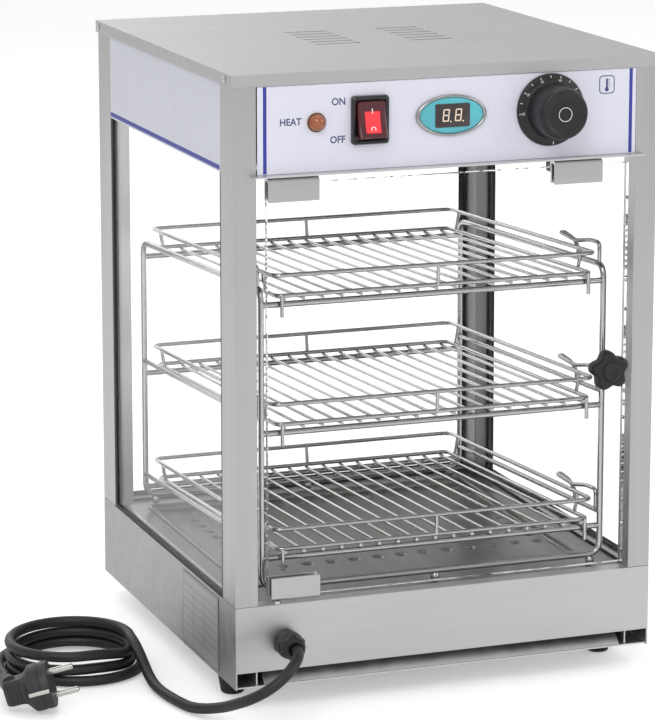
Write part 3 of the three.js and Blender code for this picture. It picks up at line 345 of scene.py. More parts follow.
# ------------------------------------------------------------------ geometry helpers
def finish_mesh(bm, name, mat, body="cabinet", smooth=35, replaces=(), merge=True):
    if merge:
        bmesh.ops.remove_doubles(bm, verts=bm.verts, dist=1e-6)
    bmesh.ops.recalc_face_normals(bm, faces=bm.faces)
    for f in bm.faces:
        f.smooth = True
    lim = math.radians(smooth)
    for e in bm.edges:
        e.smooth = not (len(e.link_faces) == 2 and e.calc_face_angle(0.0) > lim)
    me = bpy.data.meshes.new(name)
    bm.to_mesh(me)
    bm.free()
    o = bpy.data.objects.new(name, me)
    scene.collection.objects.link(o)
    mats = mat if isinstance(mat, (list, tuple)) else [mat]
    for x in mats:
        me.materials.append(x)
    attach(o, body)
    if replaces:
        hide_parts(*replaces)
    return o

def basis(axis):
    a = Vector(axis).normalized()
    t = Vector((0, 0, 1)) if abs(a.z) < 0.9 else Vector((1, 0, 0))
    u = t.cross(a).normalized()
    v = a.cross(u).normalized()
    return a, u, v

def lathe(bm, profile, origin, axis, n=48, mat_index=0):
    """profile: (radius mm, distance mm along axis), from one end on the axis to the other."""
    a, u, v = basis(axis)
    rings = []
    for r, d in profile:
        c = origin + a * (d / 1000.0)
        if r < 1e-6:
            rings.append([bm.verts.new(c)])
        else:
            rings.append([bm.verts.new(c + (u * math.cos(2 * math.pi * k / n) + v * math.sin(2 * math.pi * k / n)) * (r / 1000.0)) for k in range(n)])
    faces = []
    for p, q in zip(rings[:-1], rings[1:]):
        for k in range(n):
            l = (k + 1) % n
            if len(p) == 1 and len(q) == 1:
                continue
            if len(p) == 1:
                faces.append(bm.faces.new((p[0], q[l], q[k])))
            elif len(q) == 1:
                faces.append(bm.faces.new((p[k], p[l], q[0])))
            else:
                faces.append(bm.faces.new((p[k], p[l], q[l], q[k])))
    for f in faces:
        f.material_index = mat_index
    return faces

def prism(bm, outline, to3, d0, d1, mat_index=0, bevel=0.0, segs=2):
    """Solid from an outline (2D mm) pushed from d0 to d1; to3(a, b, d) gives the point."""
    lo = [bm.verts.new(to3(a, b, d0)) for a, b in outline]
    hi = [bm.verts.new(to3(a, b, d1)) for a, b in outline]
    n = len(outline)
    fs = [bm.faces.new(lo), bm.faces.new(hi[::-1])]
    for k in range(n):
        l = (k + 1) % n
        fs.append(bm.faces.new((lo[l], lo[k], hi[k], hi[l])))
    for f in fs:
        f.material_index = mat_index
    if bevel > 0:
        edges = list(fs[0].edges) + list(fs[1].edges)
        bmesh.ops.bevel(bm, geom=edges, offset=bevel / 1000.0, segments=segs, profile=0.5, affect="EDGES")
    return fs

front = lambda x, z, y: V(x, y, z)          # outline in XZ, depth along y
side = lambda y, z, x: V(x, y, z)           # outline in YZ, depth along x
flat = lambda x, y, z: V(x, y, z)           # outline in XY, depth along z

def rrect(x0, x1, z0, z1, r, n=6):
    pts = []
    for cx, cz, a0 in ((x1 - r, z0 + r, -90), (x1 - r, z1 - r, 0), (x0 + r, z1 - r, 90), (x0 + r, z0 + r, 180)):
        for k in range(n + 1):
            a = math.radians(a0 + 90 * k / n)
            pts.append((cx + r * math.cos(a), cz + r * math.sin(a)))
    return pts

def ellipse(cx, cz, rx, rz, n=64):
    return [(cx + rx * math.cos(2 * math.pi * k / n), cz + rz * math.sin(2 * math.pi * k / n)) for k in range(n)]

def ring_band(bm, outer, inner, to3, d, d2=None, mat_index=0):
    """Band between two outlines of equal count; outer at depth d, inner at depth d2."""
    d2 = d if d2 is None else d2
    a = [bm.verts.new(to3(p[0], p[1], d)) for p in outer]
    b = [bm.verts.new(to3(p[0], p[1], d2)) for p in inner]
    n = len(a)
    for k in range(n):
        l = (k + 1) % n
        bm.faces.new((a[k], a[l], b[l], b[k])).material_index = mat_index
    return a, b

def loft(bm, loops, close_ends=True, mat_index=0):
    """Skin through rings of equal count."""
    rings = [[bm.verts.new(p) for p in l] for l in loops]
    n = len(rings[0])
    for p, q in zip(rings[:-1], rings[1:]):
        for k in range(n):
            l = (k + 1) % n
            bm.faces.new((p[k], p[l], q[l], q[k])).material_index = mat_index
    if close_ends:
        bm.faces.new(rings[0][::-1]).material_index = mat_index
        bm.faces.new(rings[-1]).material_index = mat_index
    return rings

def rounded_path(pts, r, n=6, closed=False):
    v = [Vector(p) for p in pts]
    out = []
    c = len(v)
    for i in range(c):
        if not closed and i in (0, c - 1):
            out.append(v[i].copy())
            continue
        a, b, d = v[(i - 1) % c], v[i], v[(i + 1) % c]
        u, w = a - b, d - b
        lim = min(r, u.length * 0.49, w.length * 0.49)
        p, q = b + u.normalized() * lim, b + w.normalized() * lim
        for k in range(n + 1):
            t = k / n
            out.append(p * (1 - t) ** 2 + b * (2 * t * (1 - t)) + q * t ** 2)
    return out

def wires(name, paths, mat, body="cabinet", replaces=(), res=3):
    """paths: (points mm, radius mm, closed, corner radius mm). One curve object, a spline per wire."""
    groups = {}
    for pts, r, closed, corner in paths:
        groups.setdefault(r, []).append((pts, closed, corner))
    objs = []
    for gi, (r, lst) in enumerate(sorted(groups.items())):
        cu = bpy.data.curves.new(name if gi == 0 else f"{name}_{gi}", "CURVE")
        cu.dimensions = "3D"
        cu.bevel_depth = r / 1000.0
        cu.bevel_resolution = res
        cu.use_fill_caps = True
        for pts, closed, corner in lst:
            pp = rounded_path(pts, corner, 6, closed) if corner > 0 else [Vector(p) for p in pts]
            sp = cu.splines.new("POLY")
            sp.points.add(len(pp) - 1)
            for s, p in zip(sp.points, pp):
                w = V(*p)
                s.co = (w.x, w.y, w.z, 1.0)
            sp.use_cyclic_u = closed
            sp.use_smooth = True
        o = bpy.data.objects.new(cu.name, cu)
        scene.collection.objects.link(o)
        cu.materials.append(mat)
        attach(o, body)
        if replaces:
            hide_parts(*replaces)
        objs.append(o)
    return objs

def text_into(bm, string, size, at, mat_index=0, rot=0.0, width=1.0, depth=0.05, place=None, bold=0.0):
    """Flat letters laid on the front plane (or through place(x, z, d)), a hair thick."""
    cu = bpy.data.curves.new("t", "FONT")
    cu.body = string
    cu.size = size
    cu.align_x = "CENTER"
    cu.align_y = "CENTER"
    cu.resolution_u = 3
    cu.extrude = depth / 2
    cu.offset = bold
    o = bpy.data.objects.new("t", cu)
    scene.collection.objects.link(o)
    dg = bpy.context.evaluated_depsgraph_get()
    me = bpy.data.meshes.new_from_object(o.evaluated_get(dg))
    bpy.data.objects.remove(o)
    c, s = math.cos(rot), math.sin(rot)
    verts = []
    for v in me.vertices:
        x, z = v.co.x * width, v.co.y
        x, z = x * c - z * s, x * s + z * c
        verts.append(bm.verts.new(place(x, z, v.co.z) if place else V(at[0] + x, at[1] - v.co.z - depth / 2, at[2] + z)))
    for p in me.polygons:
        try:
            bm.faces.new([verts[i] for i in p.vertices]).material_index = mat_index
        except ValueError:
            pass
    bpy.data.meshes.remove(me)
    bpy.data.curves.remove(cu)

# smooth shading by angle, as a small node group of our own
def smooth_group():
    g = bpy.data.node_groups.new("smooth_by_angle_own", "GeometryNodeTree")
    g.interface.new_socket("Geometry", in_out="INPUT", socket_type="NodeSocketGeometry")
    g.interface.new_socket("Geometry", in_out="OUTPUT", socket_type="NodeSocketGeometry")
    gi, go = g.nodes.new("NodeGroupInput"), g.nodes.new("NodeGroupOutput")
    s1, s2 = g.nodes.new("GeometryNodeSetShadeSmooth"), g.nodes.new("GeometryNodeSetShadeSmooth")
    s1.domain, s2.domain = "FACE", "EDGE"
    s1.inputs["Shade Smooth"].default_value = True
    s2.inputs["Shade Smooth"].default_value = False
    ea = g.nodes.new("GeometryNodeInputMeshEdgeAngle")
    cmp = g.nodes.new("FunctionNodeCompare")
    cmp.data_type = "FLOAT"
    cmp.operation = "GREATER_THAN"
    cmp.inputs[1].default_value = math.radians(52)
    g.links.new(ea.outputs["Unsigned Angle"], cmp.inputs[0])
    g.links.new(gi.outputs[0], s1.inputs["Geometry"])
    g.links.new(s1.outputs[0], s2.inputs["Geometry"])
    g.links.new(cmp.outputs[0], s2.inputs["Selection"])
    g.links.new(s2.outputs[0], go.inputs[0])
    return g
SMOOTH = smooth_group()

def cad(name, mat, bevel=0.35, segs=2, angle=40, dissolve=True):
    """A carried-over CAD solid: its own material, and its sharp folds eased."""
    o = N[name]
    if not o.data.materials:
        o.data.materials.append(mat)
    for s in o.material_slots:
        s.link = "OBJECT"
        s.material = mat
    w = o.modifiers.new("weld", "WELD"); w.merge_threshold = 1e-6
    if dissolve:
        d = o.modifiers.new("planar", "DECIMATE"); d.decimate_type = "DISSOLVE"; d.angle_limit = math.radians(0.6)
    if bevel > 0:
        b = o.modifiers.new("ease", "BEVEL")
        b.width = bevel / 1000.0
        b.segments = segs
        b.limit_method = "ANGLE"
        b.angle_limit = math.radians(angle)
        b.use_clamp_overlap = True
        b.miter_outer = "MITER_ARC"
    g = o.modifiers.new("shade", "NODES"); g.node_group = SMOOTH
    wn = o.modifiers.new("weighted", "WEIGHTED_NORMAL"); wn.keep_sharp = True; wn.weight = 80
    return o

# ------------------------------------------------------------------ the cord, first
ROUTE = [
    (-132.6, -184.5, 55.0), (-132.6, -194.0, 55.0), (-132.6, -202.0, 55.0), (-136.8, -214.3, 54.0), (-146.0, -224.6, 49.0),
    (-156.5, -229.3, 42.2), (-167.6, -227.6, 34.6), (-177.6, -219.6, 27.2), (-183.3, -206.5, 20.6), (-186.9, -192.8, 14.6),
    (-192.0, -180.0, 9.9), (-198.4, -168.0, 6.6), (-203.8, -155.6, 4.7), (-207.5, -142.6, 4.5), (-210.3, -129.0, 4.5),
    (-212.7, -113.7, 4.7), (-214.2, -98.0, 5.9), (-214.2, -83.0, 8.9), (-213.6, -70.0, 12.9),
]
COIL_X, COIL_Y, COIL_R = -259.0, -15.0, 48.0

def catmull(pts, per=6):
    """Centripetal Catmull-Rom through the points."""
    P = [Vector(p) for p in pts]
    P = [P[0] * 2 - P[1]] + P + [P[-1] * 2 - P[-2]]
    out = []
    for i in range(1, len(P) - 2):
        p0, p1, p2, p3 = P[i - 1], P[i], P[i + 1], P[i + 2]
        t0 = 0.0
        t1 = t0 + max(1e-6, (p1 - p0).length) ** 0.5
        t2 = t1 + max(1e-6, (p2 - p1).length) ** 0.5
        t3 = t2 + max(1e-6, (p3 - p2).length) ** 0.5
        for k in range(per):
            t = t1 + (t2 - t1) * k / per
            a1 = p0 * ((t1 - t) / (t1 - t0)) + p1 * ((t - t0) / (t1 - t0))
            a2 = p1 * ((t2 - t) / (t2 - t1)) + p2 * ((t - t1) / (t2 - t1))
            a3 = p2 * ((t3 - t) / (t3 - t2)) + p3 * ((t - t2) / (t3 - t2))
            b1 = a1 * ((t2 - t) / (t2 - t0)) + a2 * ((t - t0) / (t2 - t0))
            b2 = a2 * ((t3 - t) / (t3 - t1)) + a3 * ((t - t1) / (t3 - t1))
            out.append(b1 * ((t2 - t) / (t2 - t1)) + b2 * ((t - t1) / (t2 - t1)))
    out.append(P[-2].copy())
    return out

def ease(x, a, b, va, vb):
    """Smooth step from va to vb as x goes from a to b."""
    t = min(1.0, max(0.0, (x - a) / (b - a)))
    t = t * t * (3 - 2 * t)
    return va + (vb - va) * t

def coil_points():
    """Three stacked turns, wound anticlockwise seen from above, and a half turn outside them on the floor."""
    pts = []
    steps = 84
    for k in range(steps + 1):
        th = -12.0 + (1260.0 - 4.0 + 12.0) * k / steps
        if th < 345:
            z = ease(th, 272, 345, 23.7, 15.2)
        elif th < 620:
            z = ease(th, 420, 540, 15.2, 12.9)
        elif th < 705:
            z = ease(th, 632, 705, 12.9, 6.8)
        else:
            z = ease(th, 790, 900, 6.8, 4.35)
        r = COIL_R + ease(th, 945, 1045, 0.0, 9.2)
        r += 0.45 * math.sin(math.radians(2.0 * th + 40)) * (1.0 if th < 940 else 0.0)
        a = math.radians(th)
        pts.append((COIL_X + r * math.cos(a), COIL_Y + r * math.sin(a), z))
    return pts

coil = coil_points()
climb = [(-213.0, -55.0, 18.0), (-212.6, -40.0, 22.2)]
tail = [(-317.6, -37.0, 5.4), (-323.2, -56.0, 10.2), (-329.1, -74.9, 15.8), (-331.1, -92.0, 19.4), (-332.7, -106.6, 22.3)]
cord_ctrl = list(ROUTE) + climb + coil + tail
cord_pts = catmull(cord_ctrl, 3)
cu = bpy.data.curves.new("power_cord", "CURVE")
cu.dimensions = "3D"
cu.bevel_depth = CORD_R / 1000.0
cu.bevel_resolution = 4
cu.use_fill_caps = True
sp = cu.splines.new("POLY")
sp.points.add(len(cord_pts) - 1)
world_pts = [V(p.x, p.y, p.z) for p in cord_pts]
for s_, w_ in zip(sp.points, world_pts):
    s_.co = (w_.x, w_.y, w_.z, 1.0)
sp.use_smooth = True
cord = bpy.data.objects.new("power_cord", cu)
scene.collection.objects.link(cord)
cu.materials.append(CORD_MAT)
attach(cord, "cabinet")
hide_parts("cord_run", "cord_coil")

# ------------------------------------------------------------------ sheet metal, glass and seals from the CAD
cad("top_cover", COVER, 0.35, 2, dissolve=False)
for n_ in ("post_front_left", "post_front_right"):
    cad(n_, STEEL_Z, 0.8, 3)
cad("post_rear_left", STEEL_Z, 0.8, 3)
cad("post_rear_right", REAR_POST_PAINTED_SHADE, 0.8, 3)
cad("control_panel", STEEL_X, 0.25, 2)
cad("panel_film", FILM, 0.08, 1)
for n_ in ("header_left", "header_right"):
    cad(n_, SIDE_FILM, 0.25, 2)
cad("header_rear", STEEL_X, 0.3, 2)
cad("chamber_ceiling", STEEL_DARK, 0.4, 2)
for n_ in ("glass_left", "glass_right", "glass_rear", "door_glass"):
    cad(n_, GLASS, 0.5, 2)
for n_ in ("glass_seal_left", "glass_seal_right", "glass_seal_rear"):
    cad(n_, SEAL, 0.3, 2)
cad("base_shell", BASE_STEEL_SHADED_SIDES, 0.8, 3)
cad("deck", STEEL_DARK, 0.2, 2)
cad("bottom_pan", STEEL_SIDE, 0.3, 2)
cad("heating_element", STEEL_DARK, 0.0)
cad("thermostat", STEEL_DARK, 0.4, 2)
cad("magnet_catch", BLACK, 0.6, 2)
cad("rating_plate", LABEL, 0.1, 1)
cad("lamp_collar", AMBER_RING, 0.2, 2)
for n_ in ("pivot_top", "pivot_bottom", "star_knob_screw", "cover_screw_left_front", "cover_screw_left_rear", "cover_screw_right_front", "cover_screw_right_rear"):
    cad(n_, NICKEL, 0.12, 2)
for n_ in ("clip_top_left", "clip_top_right", "clip_bottom_left"):
    cad(n_, CLIP_MAT, 0.5, 3)
for n_ in ("plug_pin_upper", "plug_pin_lower"):
    cad(n_, NICKEL, 0.3, 2)

# ------------------------------------------------------------------ printing on the control panel and headers
bm = bmesh.new()
for x in (-148.6, 150.1):
    prism(bm, [(x - 1.4, 419.3), (x + 1.4, 419.3), (x + 1.4, 484.7), (x - 1.4, 484.7)], front, FF - 0.05, FF - 0.005, 0)
text_into(bm, "HEAT", 7.4, (-128.3, FF - 0.01, 457.2), 1, bold=0.15, width=0.94)
text_into(bm, "ON", 7.7, (-90.1, FF - 0.01, 470.8), 1, bold=0.15, width=0.92)
text_into(bm, "OFF", 7.6, (-90.9, FF - 0.01, 442.1), 1, bold=0.15, width=0.92)
# plain thermometer sign in a rounded frame
tx, tz = 129.75, 473.05
o1, i1 = rrect(tx - 6.5, tx + 6.5, tz - 7.1, tz + 7.1, 3.0), rrect(tx - 5.75, tx + 5.75, tz - 6.35, tz + 6.35, 2.4)
ring_band(bm, o1, i1, front, FF - 0.04, mat_index=1)
prism(bm, ellipse(tx, tz - 3.6, 1.7, 1.7, 24), front, FF - 0.05, FF - 0.005, 1)
prism(bm, rrect(tx - 0.8, tx + 0.8, tz - 2.9, tz + 4.8, 0.75, 4), front, FF - 0.06, FF - 0.005, 1)
for k in range(4):
    prism(bm, [(tx + 1.2, tz - 1.4 + 1.6 * k), (tx + 2.6, tz - 1.4 + 1.6 * k), (tx + 2.6, tz - 0.9 + 1.6 * k), (tx + 1.2, tz - 0.9 + 1.6 * k)], front, FF - 0.05, FF - 0.005, 1)
finish_mesh(bm, "panel_print", [NAVY, INK], smooth=30, merge=False)

for sx, nm in ((-1, "left"), (1, "right")):
    bm = bmesh.new()
    xs = sx * 173.3
    def hp(y, z, d, xs=xs, sx=sx):
        return V(xs + sx * d, y, z)
    prism(bm, [(-143.9, 419.0), (141.4, 419.0), (141.4, 422.6), (-143.9, 422.6)], hp, 0.01, 0.06, 0)
    finish_mesh(bm, f"header_print_{nm}", [NAVY], smooth=30, merge=False)

# blank rating plate: a thin dark border and fine ruling, no lettering
bm = bmesh.new()
def rp(y, z, d):
    return V(-174.1 - d, y, z)
ring_band(bm, rrect(-133.6, -46.8, 23.4, 81.1, 1.4, 4), rrect(-133.0, -47.4, 24.0, 80.5, 1.0, 4), rp, 0.05)
for k, zz in enumerate((72.5, 66.0, 59.5, 53.0, 46.5, 40.0, 33.5)):
    prism(bm, [(-133.0, zz - 0.16), (-47.4, zz - 0.16), (-47.4, zz + 0.16), (-133.0, zz + 0.16)], rp, 0.01, 0.05)
for yy in (-101.0, -74.0):
    prism(bm, [(yy - 0.16, 33.5), (yy + 0.16, 33.5), (yy + 0.16, 72.5), (yy - 0.16, 72.5)], rp, 0.01, 0.055)
finish_mesh(bm, "rating_plate_ruling", [LABEL_INK], smooth=30, merge=False)

# ------------------------------------------------------------------ indicator lamp
bm = bmesh.new()
dome = [(0, 6.7), (1.2, 6.6), (2.5, 6.2), (3.8, 5.5), (4.9, 4.5), (5.7, 3.2), (6.3, 1.8), (6.5, 0.4), (6.3, 0.1), (3.6, 0.1), (3.6, -3.0), (0, -3.0)]
lathe(bm, [(r, d) for r, d in dome], V(LAMP_X, FF - 0.9, PANEL_MID), (0, -1, 0), 40)
finish_mesh(bm, "lamp_dome", AMBER, replaces=("lamp_lens",), smooth=40)

# ------------------------------------------------------------------ rocker switch
bm = bmesh.new()
def sq(hx, hz, r, y, n=6):
    return [V(SWITCH_X + a, y, PANEL_MID + b) for a, b in rrect(-hx, hx, -hz, hz, r, n)]
loops = [sq(14.9, 18.5, 2.6, FF - 0.3), sq(14.9, 18.5, 2.6, FF - 2.6), sq(14.5, 18.1, 2.4, FF - 3.7), sq(13.9, 17.5, 2.2, FF - 4.2),
         sq(12.7, 16.2, 2.0, FF - 4.2), sq(12.1, 15.6, 1.9, FF - 3.9), sq(11.9, 15.4, 1.8, FF - 3.4), sq(11.9, 15.4, 1.8, FF - 0.9),
         sq(9.9, 13.2, 0.6, FF - 0.9), sq(9.9, 13.2, 0.6, FF + 14.0)]
loft(bm, loops, close_ends=False)
bm.faces.new([v for v in bm.verts][-28:])
finish_mesh(bm, "switch_frame", BEZEL, replaces=("switch_bezel",), smooth=28)

TILT = math.radians(13)
RY = FF - 4.0
def rk(y, z, x):
    """Rocker's own profile point, turned to its rest position (upper end pressed)."""
    return V(SWITCH_X + x, RY + y * math.cos(TILT) + z * math.sin(TILT), PANEL_MID - y * math.sin(TILT) + z * math.cos(TILT))
bm = bmesh.new()
# hooded cap: a curved front face between rounded ends, its sides rounded over
zs = [14.05, 13.9, 13.2, 11.2, 8.0, 4.0, 0.0, -4.0, -8.0, -11.2, -13.2, -13.9, -14.05]
ys = [-1.2, -4.3, -5.0, -4.65, -4.2, -3.85, -3.72, -3.85, -4.2, -4.65, -5.0, -4.3, -1.2]
narrow = [1.6, 0.9, 0.35, 0, 0, 0, 0, 0, 0, 0, 0.35, 0.9, 1.6]
rows = []
for z, y, nw in zip(zs, ys, narrow):
    row = []
    for x, dy, in ((-11.1, 1.4), (-11.0, 0.55), (-10.5, 0.1), (-9.5, 0.0), (0.0, 0.0), (9.5, 0.0), (10.5, 0.1), (11.0, 0.55), (11.1, 1.4)):
        yy = y + dy
        row.append(rk(min(yy, 0.4), z, math.copysign(max(0.0, abs(x) - (nw if abs(x) > 9 else 0.0)), x)))
    rows.append(row)
verts = [[bm.verts.new(p) for p in row] for row in rows]
for a, b in zip(verts[:-1], verts[1:]):
    for k in range(len(a) - 1):
        bm.faces.new((a[k], a[k + 1], b[k + 1], b[k]))
# skirt down to the rear of the cap
for col, s in ((0, -1), (-1, 1)):
    base = [bm.verts.new(rk(0.3, z * 0.99, s * (11.1 - nw))) for z, nw in zip(zs, narrow)]
    for k in range(len(zs) - 1):
        bm.faces.new((verts[k][col], verts[k + 1][col], base[k + 1], base[k]) if s < 0 else (verts[k + 1][col], verts[k][col], base[k], base[k + 1]))
prism(bm, [(1, 9.6), (6, 6.5), (9, 3), (9, -3), (6, -6.5), (1, -9.6), (-1.0, -9.6), (-1.0, 9.6)], lambda y, z, x: rk(y, z, x), -9.2, 9.2)
finish_mesh(bm, "rocker_cap", RED, body="power_rocker", replaces=("switch_rocker",), smooth=42)
bm = bmesh.new()
# I on the upper end, O on the lower end, a hair proud of the cap
def on_rocker(z0, face):
    return lambda x, z, d: rk(face(z0 + z) - 0.06 - d, z0 + z, x)
face = lambda z: -3.72 - 0.0061 * z * z
def strip(bm, x0, x1, z0, z1):
    lo = [(x0, z0), (x1, z0), (x1, z1), (x0, z1)]
    a = [bm.verts.new(rk(face(z) - 0.10, z, x)) for x, z in lo]
    b = [bm.verts.new(rk(face(z) + 0.05, z, x)) for x, z in lo]
    bm.faces.new(a)
    for k in range(4):
        l = (k + 1) % 4
        bm.faces.new((a[l], a[k], b[k], b[l]))
strip(bm, -0.42, 0.42, 4.6, 8.6)
n = 28
outer = [bm.verts.new(rk(face(-7.4 + 2.1 * math.sin(2 * math.pi * k / n)) - 0.10, -7.4 + 2.1 * math.sin(2 * math.pi * k / n), 2.1 * math.cos(2 * math.pi * k / n))) for k in range(n)]
inner = [bm.verts.new(rk(face(-7.4 + 1.35 * math.sin(2 * math.pi * k / n)) - 0.10, -7.4 + 1.35 * math.sin(2 * math.pi * k / n), 1.35 * math.cos(2 * math.pi * k / n))) for k in range(n)]
for k in range(n):
    l = (k + 1) % n
    bm.faces.new((outer[k], outer[l], inner[l], inner[k]))
finish_mesh(bm, "rocker_marks", WHITE, body="power_rocker", smooth=30, merge=False)

# ------------------------------------------------------------------ thermometer display
bm = bmesh.new()
rings = []
def el(rx, rz, y):
    return [V(DISPLAY_X + a, y, PANEL_MID + b) for a, b in ellipse(0, 0, rx, rz, 72)]
loft(bm, [el(28.7, 15.8, FF - 0.3), el(28.8, 15.9, FF - 1.3), el(28.5, 15.6, FF - 2.2), el(27.8, 15.1, FF - 2.9), el(27.1, 14.6, FF - 3.05), el(26.4, 14.1, FF - 2.8), el(25.9, 13.7, FF - 2.2), el(25.7, 13.6, FF - 1.4)], close_ends=False)
finish_mesh(bm, "display_ring", CHROME, replaces=("display_bezel",), smooth=40)
bm = bmesh.new()
loft(bm, [el(25.6, 13.5, FF - 0.4), el(25.6, 13.5, FF - 1.9), el(24.6, 12.7, FF - 2.3), el(18, 9, FF - 2.55), el(8, 4, FF - 2.7)], close_ends=True)
finish_mesh(bm, "display_plate", TEAL, replaces=("display_face",), smooth=40)
bm = bmesh.new()
prism(bm, rrect(DISPLAY_X - 13.6, DISPLAY_X + 14.6, PANEL_MID - 9.0, PANEL_MID + 9.0, 1.4, 5), front, FF - 2.95, FF - 2.2, 0, 0.12, 2)
def seg(bm, cx, cz, h, w, which, slant=0.10, t=1.05):
    """One seven-segment numeral made of separate bars."""
    def pt(a, b):
        return (cx + a + slant * b, cz + b)
    hw, hh = w / 2, h / 2
    g = 0.16
    bars = {
        "a": [(-hw + g, hh), (hw - g, hh), (hw - t - g, hh - t), (-hw + t + g, hh - t)],
        "d": [(-hw + g, -hh), (hw - g, -hh), (hw - t - g, -hh + t), (-hw + t + g, -hh + t)],
        "g": [(-hw + t + g, t / 2), (hw - t - g, t / 2), (hw - t / 2 - g, 0), (hw - t - g, -t / 2), (-hw + t + g, -t / 2), (-hw + t / 2 + g, 0)],
        "f": [(-hw, hh - g), (-hw + t, hh - t - g), (-hw + t, t / 2 + g), (-hw + t / 2, g), (-hw, g)],
        "b": [(hw, hh - g), (hw - t, hh - t - g), (hw - t, t / 2 + g), (hw - t / 2, g), (hw, g)],
        "e": [(-hw, -hh + g), (-hw + t, -hh + t + g), (-hw + t, -t / 2 - g), (-hw + t / 2, -g), (-hw, -g)],
        "c": [(hw, -hh + g), (hw - t, -hh + t + g), (hw - t, -t / 2 - g), (hw - t / 2, -g), (hw, -g)],
    }
    for k in which:
        prism(bm, [pt(*p) for p in bars[k]], front, FF - 3.02, FF - 2.9, 1)
for cx in (-5.4, 4.6):
    seg(bm, DISPLAY_X + cx + 0.6, PANEL_MID + 0.2, 9.5, 5.3, "abcdefg", t=0.9)
    prism(bm, ellipse(DISPLAY_X + cx + 4.4, PANEL_MID - 4.6, 0.6, 0.6, 14), front, FF - 3.02, FF - 2.9, 1)
finish_mesh(bm, "display_window", [WINDOW, DIGIT], smooth=30)

# ------------------------------------------------------------------ thermostat knob
bm = bmesh.new()
K = 29.5
prof = [(0, 10.4), (3.3, 10.4), (3.3, 0.8), (27.4, 0.6), (27.9, 0.9), (28.0, 1.8), (27.7, 2.5), (26.9, 3.0), (22.9, 3.9), (21.9, 4.2), (21.1, 5.0), (20.7, 6.4), (20.5, 12.0), (20.25, 20.0),
        (20.1, 23.4), (19.8, K - 4.0), (19.3, K - 2.0), (18.5, K - 0.7), (17.5, K - 0.1), (16.4, K), (15.6, K - 0.2), (14.8, K - 0.7), (12.5, K - 1.0), (6.6, K - 1.2), (6.0, K - 1.0), (5.9, K - 0.4), (5.6, K - 0.15), (0, K - 0.1)]
lathe(bm, prof, V(KNOB_X, FF, PANEL_MID), (0, -1, 0), 72)
finish_mesh(bm, "knob_body", BLACK, body="temperature_knob", replaces=("thermostat_knob",), smooth=38)
bm = bmesh.new()
# plain ring in the middle of the end face
def kp(r, ang, d):
    a = math.radians(ang)
    return V(KNOB_X + r * math.cos(a), FF - d, PANEL_MID + r * math.sin(a))
n = 44
for r0, r1 in ((5.05, 5.55),):
    a = [bm.verts.new(kp(r1, 360 * k / n, K - 0.05)) for k in range(n)]
    b = [bm.verts.new(kp(r0, 360 * k / n, K - 0.05)) for k in range(n)]
    c = [bm.verts.new(kp(r1, 360 * k / n, K - 0.25)) for k in range(n)]
    d = [bm.verts.new(kp(r0, 360 * k / n, K - 0.25)) for k in range(n)]
    for k in range(n):
        l = (k + 1) % n
        bm.faces.new((a[k], a[l], b[l], b[k]))
        bm.faces.new((a[l], a[k], c[k], c[l]))
        bm.faces.new((b[k], b[l], d[l], d[k]))
skirt_d = lambda r: 3.0 + (26.9 - r) * 0.9 / 4.0 + 0.05
def tick(ang, r0, r1, w):
    quad = []
    for r, s in ((r0, -1), (r0, 1), (r1, 1), (r1, -1)):
        quad.append(kp(r, ang + s * math.degrees(w / 2 / r), skirt_d(r)))
    vs = [bm.verts.new(p) for p in quad]
    bm.faces.new(vs)
for k in range(10):
    ang = 185 - 18.6 * k
    tick(ang, 24.8, 26.7, 0.55)
tick(-4, 24.0, 26.9, 0.8)
tick(-86, 24.4, 26.8, 0.7)
for k, s in enumerate(("30", "40", "50", "60", "70")):
    ang = (185, 147.8, 110.6, 73.4, 36.2)[k]
    c = math.radians(ang)
    rot = c - math.pi / 2
    cr, sr = math.cos(rot), math.sin(rot)
    rc = 23.3
    def place(x, z, d, rc=rc, c=c):
        # letters stand with their feet towards the knob's middle
        rr = rc + z
        aa = c - x / rc
        return V(KNOB_X + rr * math.cos(aa), FF - skirt_d(rr) - d, PANEL_MID + rr * math.sin(aa))
    text_into(bm, s, 2.5, None, place=place, depth=0.02)
finish_mesh(bm, "knob_marks", WHITE, body="temperature_knob", smooth=30, merge=False)

# ------------------------------------------------------------------ star knob
bm = bmesh.new()
SX, SZ = 129.5, 250.6
DY0 = -173.2 - 2.5
def star_loop(scale, y, depth=1.0, n=100):
    out = []
    for i in range(n):
        a = i / n * math.pi * 2
        r = 14.1 + 2.0 * depth * math.cos(5 * (a + 0.14)) - 0.2 * math.cos(10 * (a + 0.14))
        r *= scale
        out.append(V(SX + r * math.sin(a), y, SZ + r * math.cos(a)))
    return out
yb, yf = DY0 - 6.6, DY0 - 19.6
loft(bm, [star_loop(0.80, yb, 0.7), star_loop(0.93, yb - 0.2, 0.9), star_loop(0.985, yb - 1.2), star_loop(1.0, yb - 2.8), star_loop(1.0, yf + 4.2), star_loop(0.985, yf + 2.4),
          star_loop(0.93, yf + 0.9, 0.95), star_loop(0.84, yf + 0.15, 0.85), star_loop(0.70, yf - 0.05, 0.6), star_loop(0.60, yf + 0.1, 0.3)])
lathe(bm, [(8.2, -0.6), (8.0, 0.0), (7.2, 1.2), (6.6, 1.7), (5.8, 1.9), (5.2, 1.6), (0, 1.5)], V(SX, yf, SZ), (0, -1, 0), 40)
lathe(bm, [(0, 0.3), (6.6, 0.3), (6.8, 2.0), (7.8, 5.6), (8.6, 7.2)], V(SX, DY0, SZ), (0, -1, 0), 40)
finish_mesh(bm, "star_grip", STAR, body="door", replaces=("star_knob",), smooth=40)

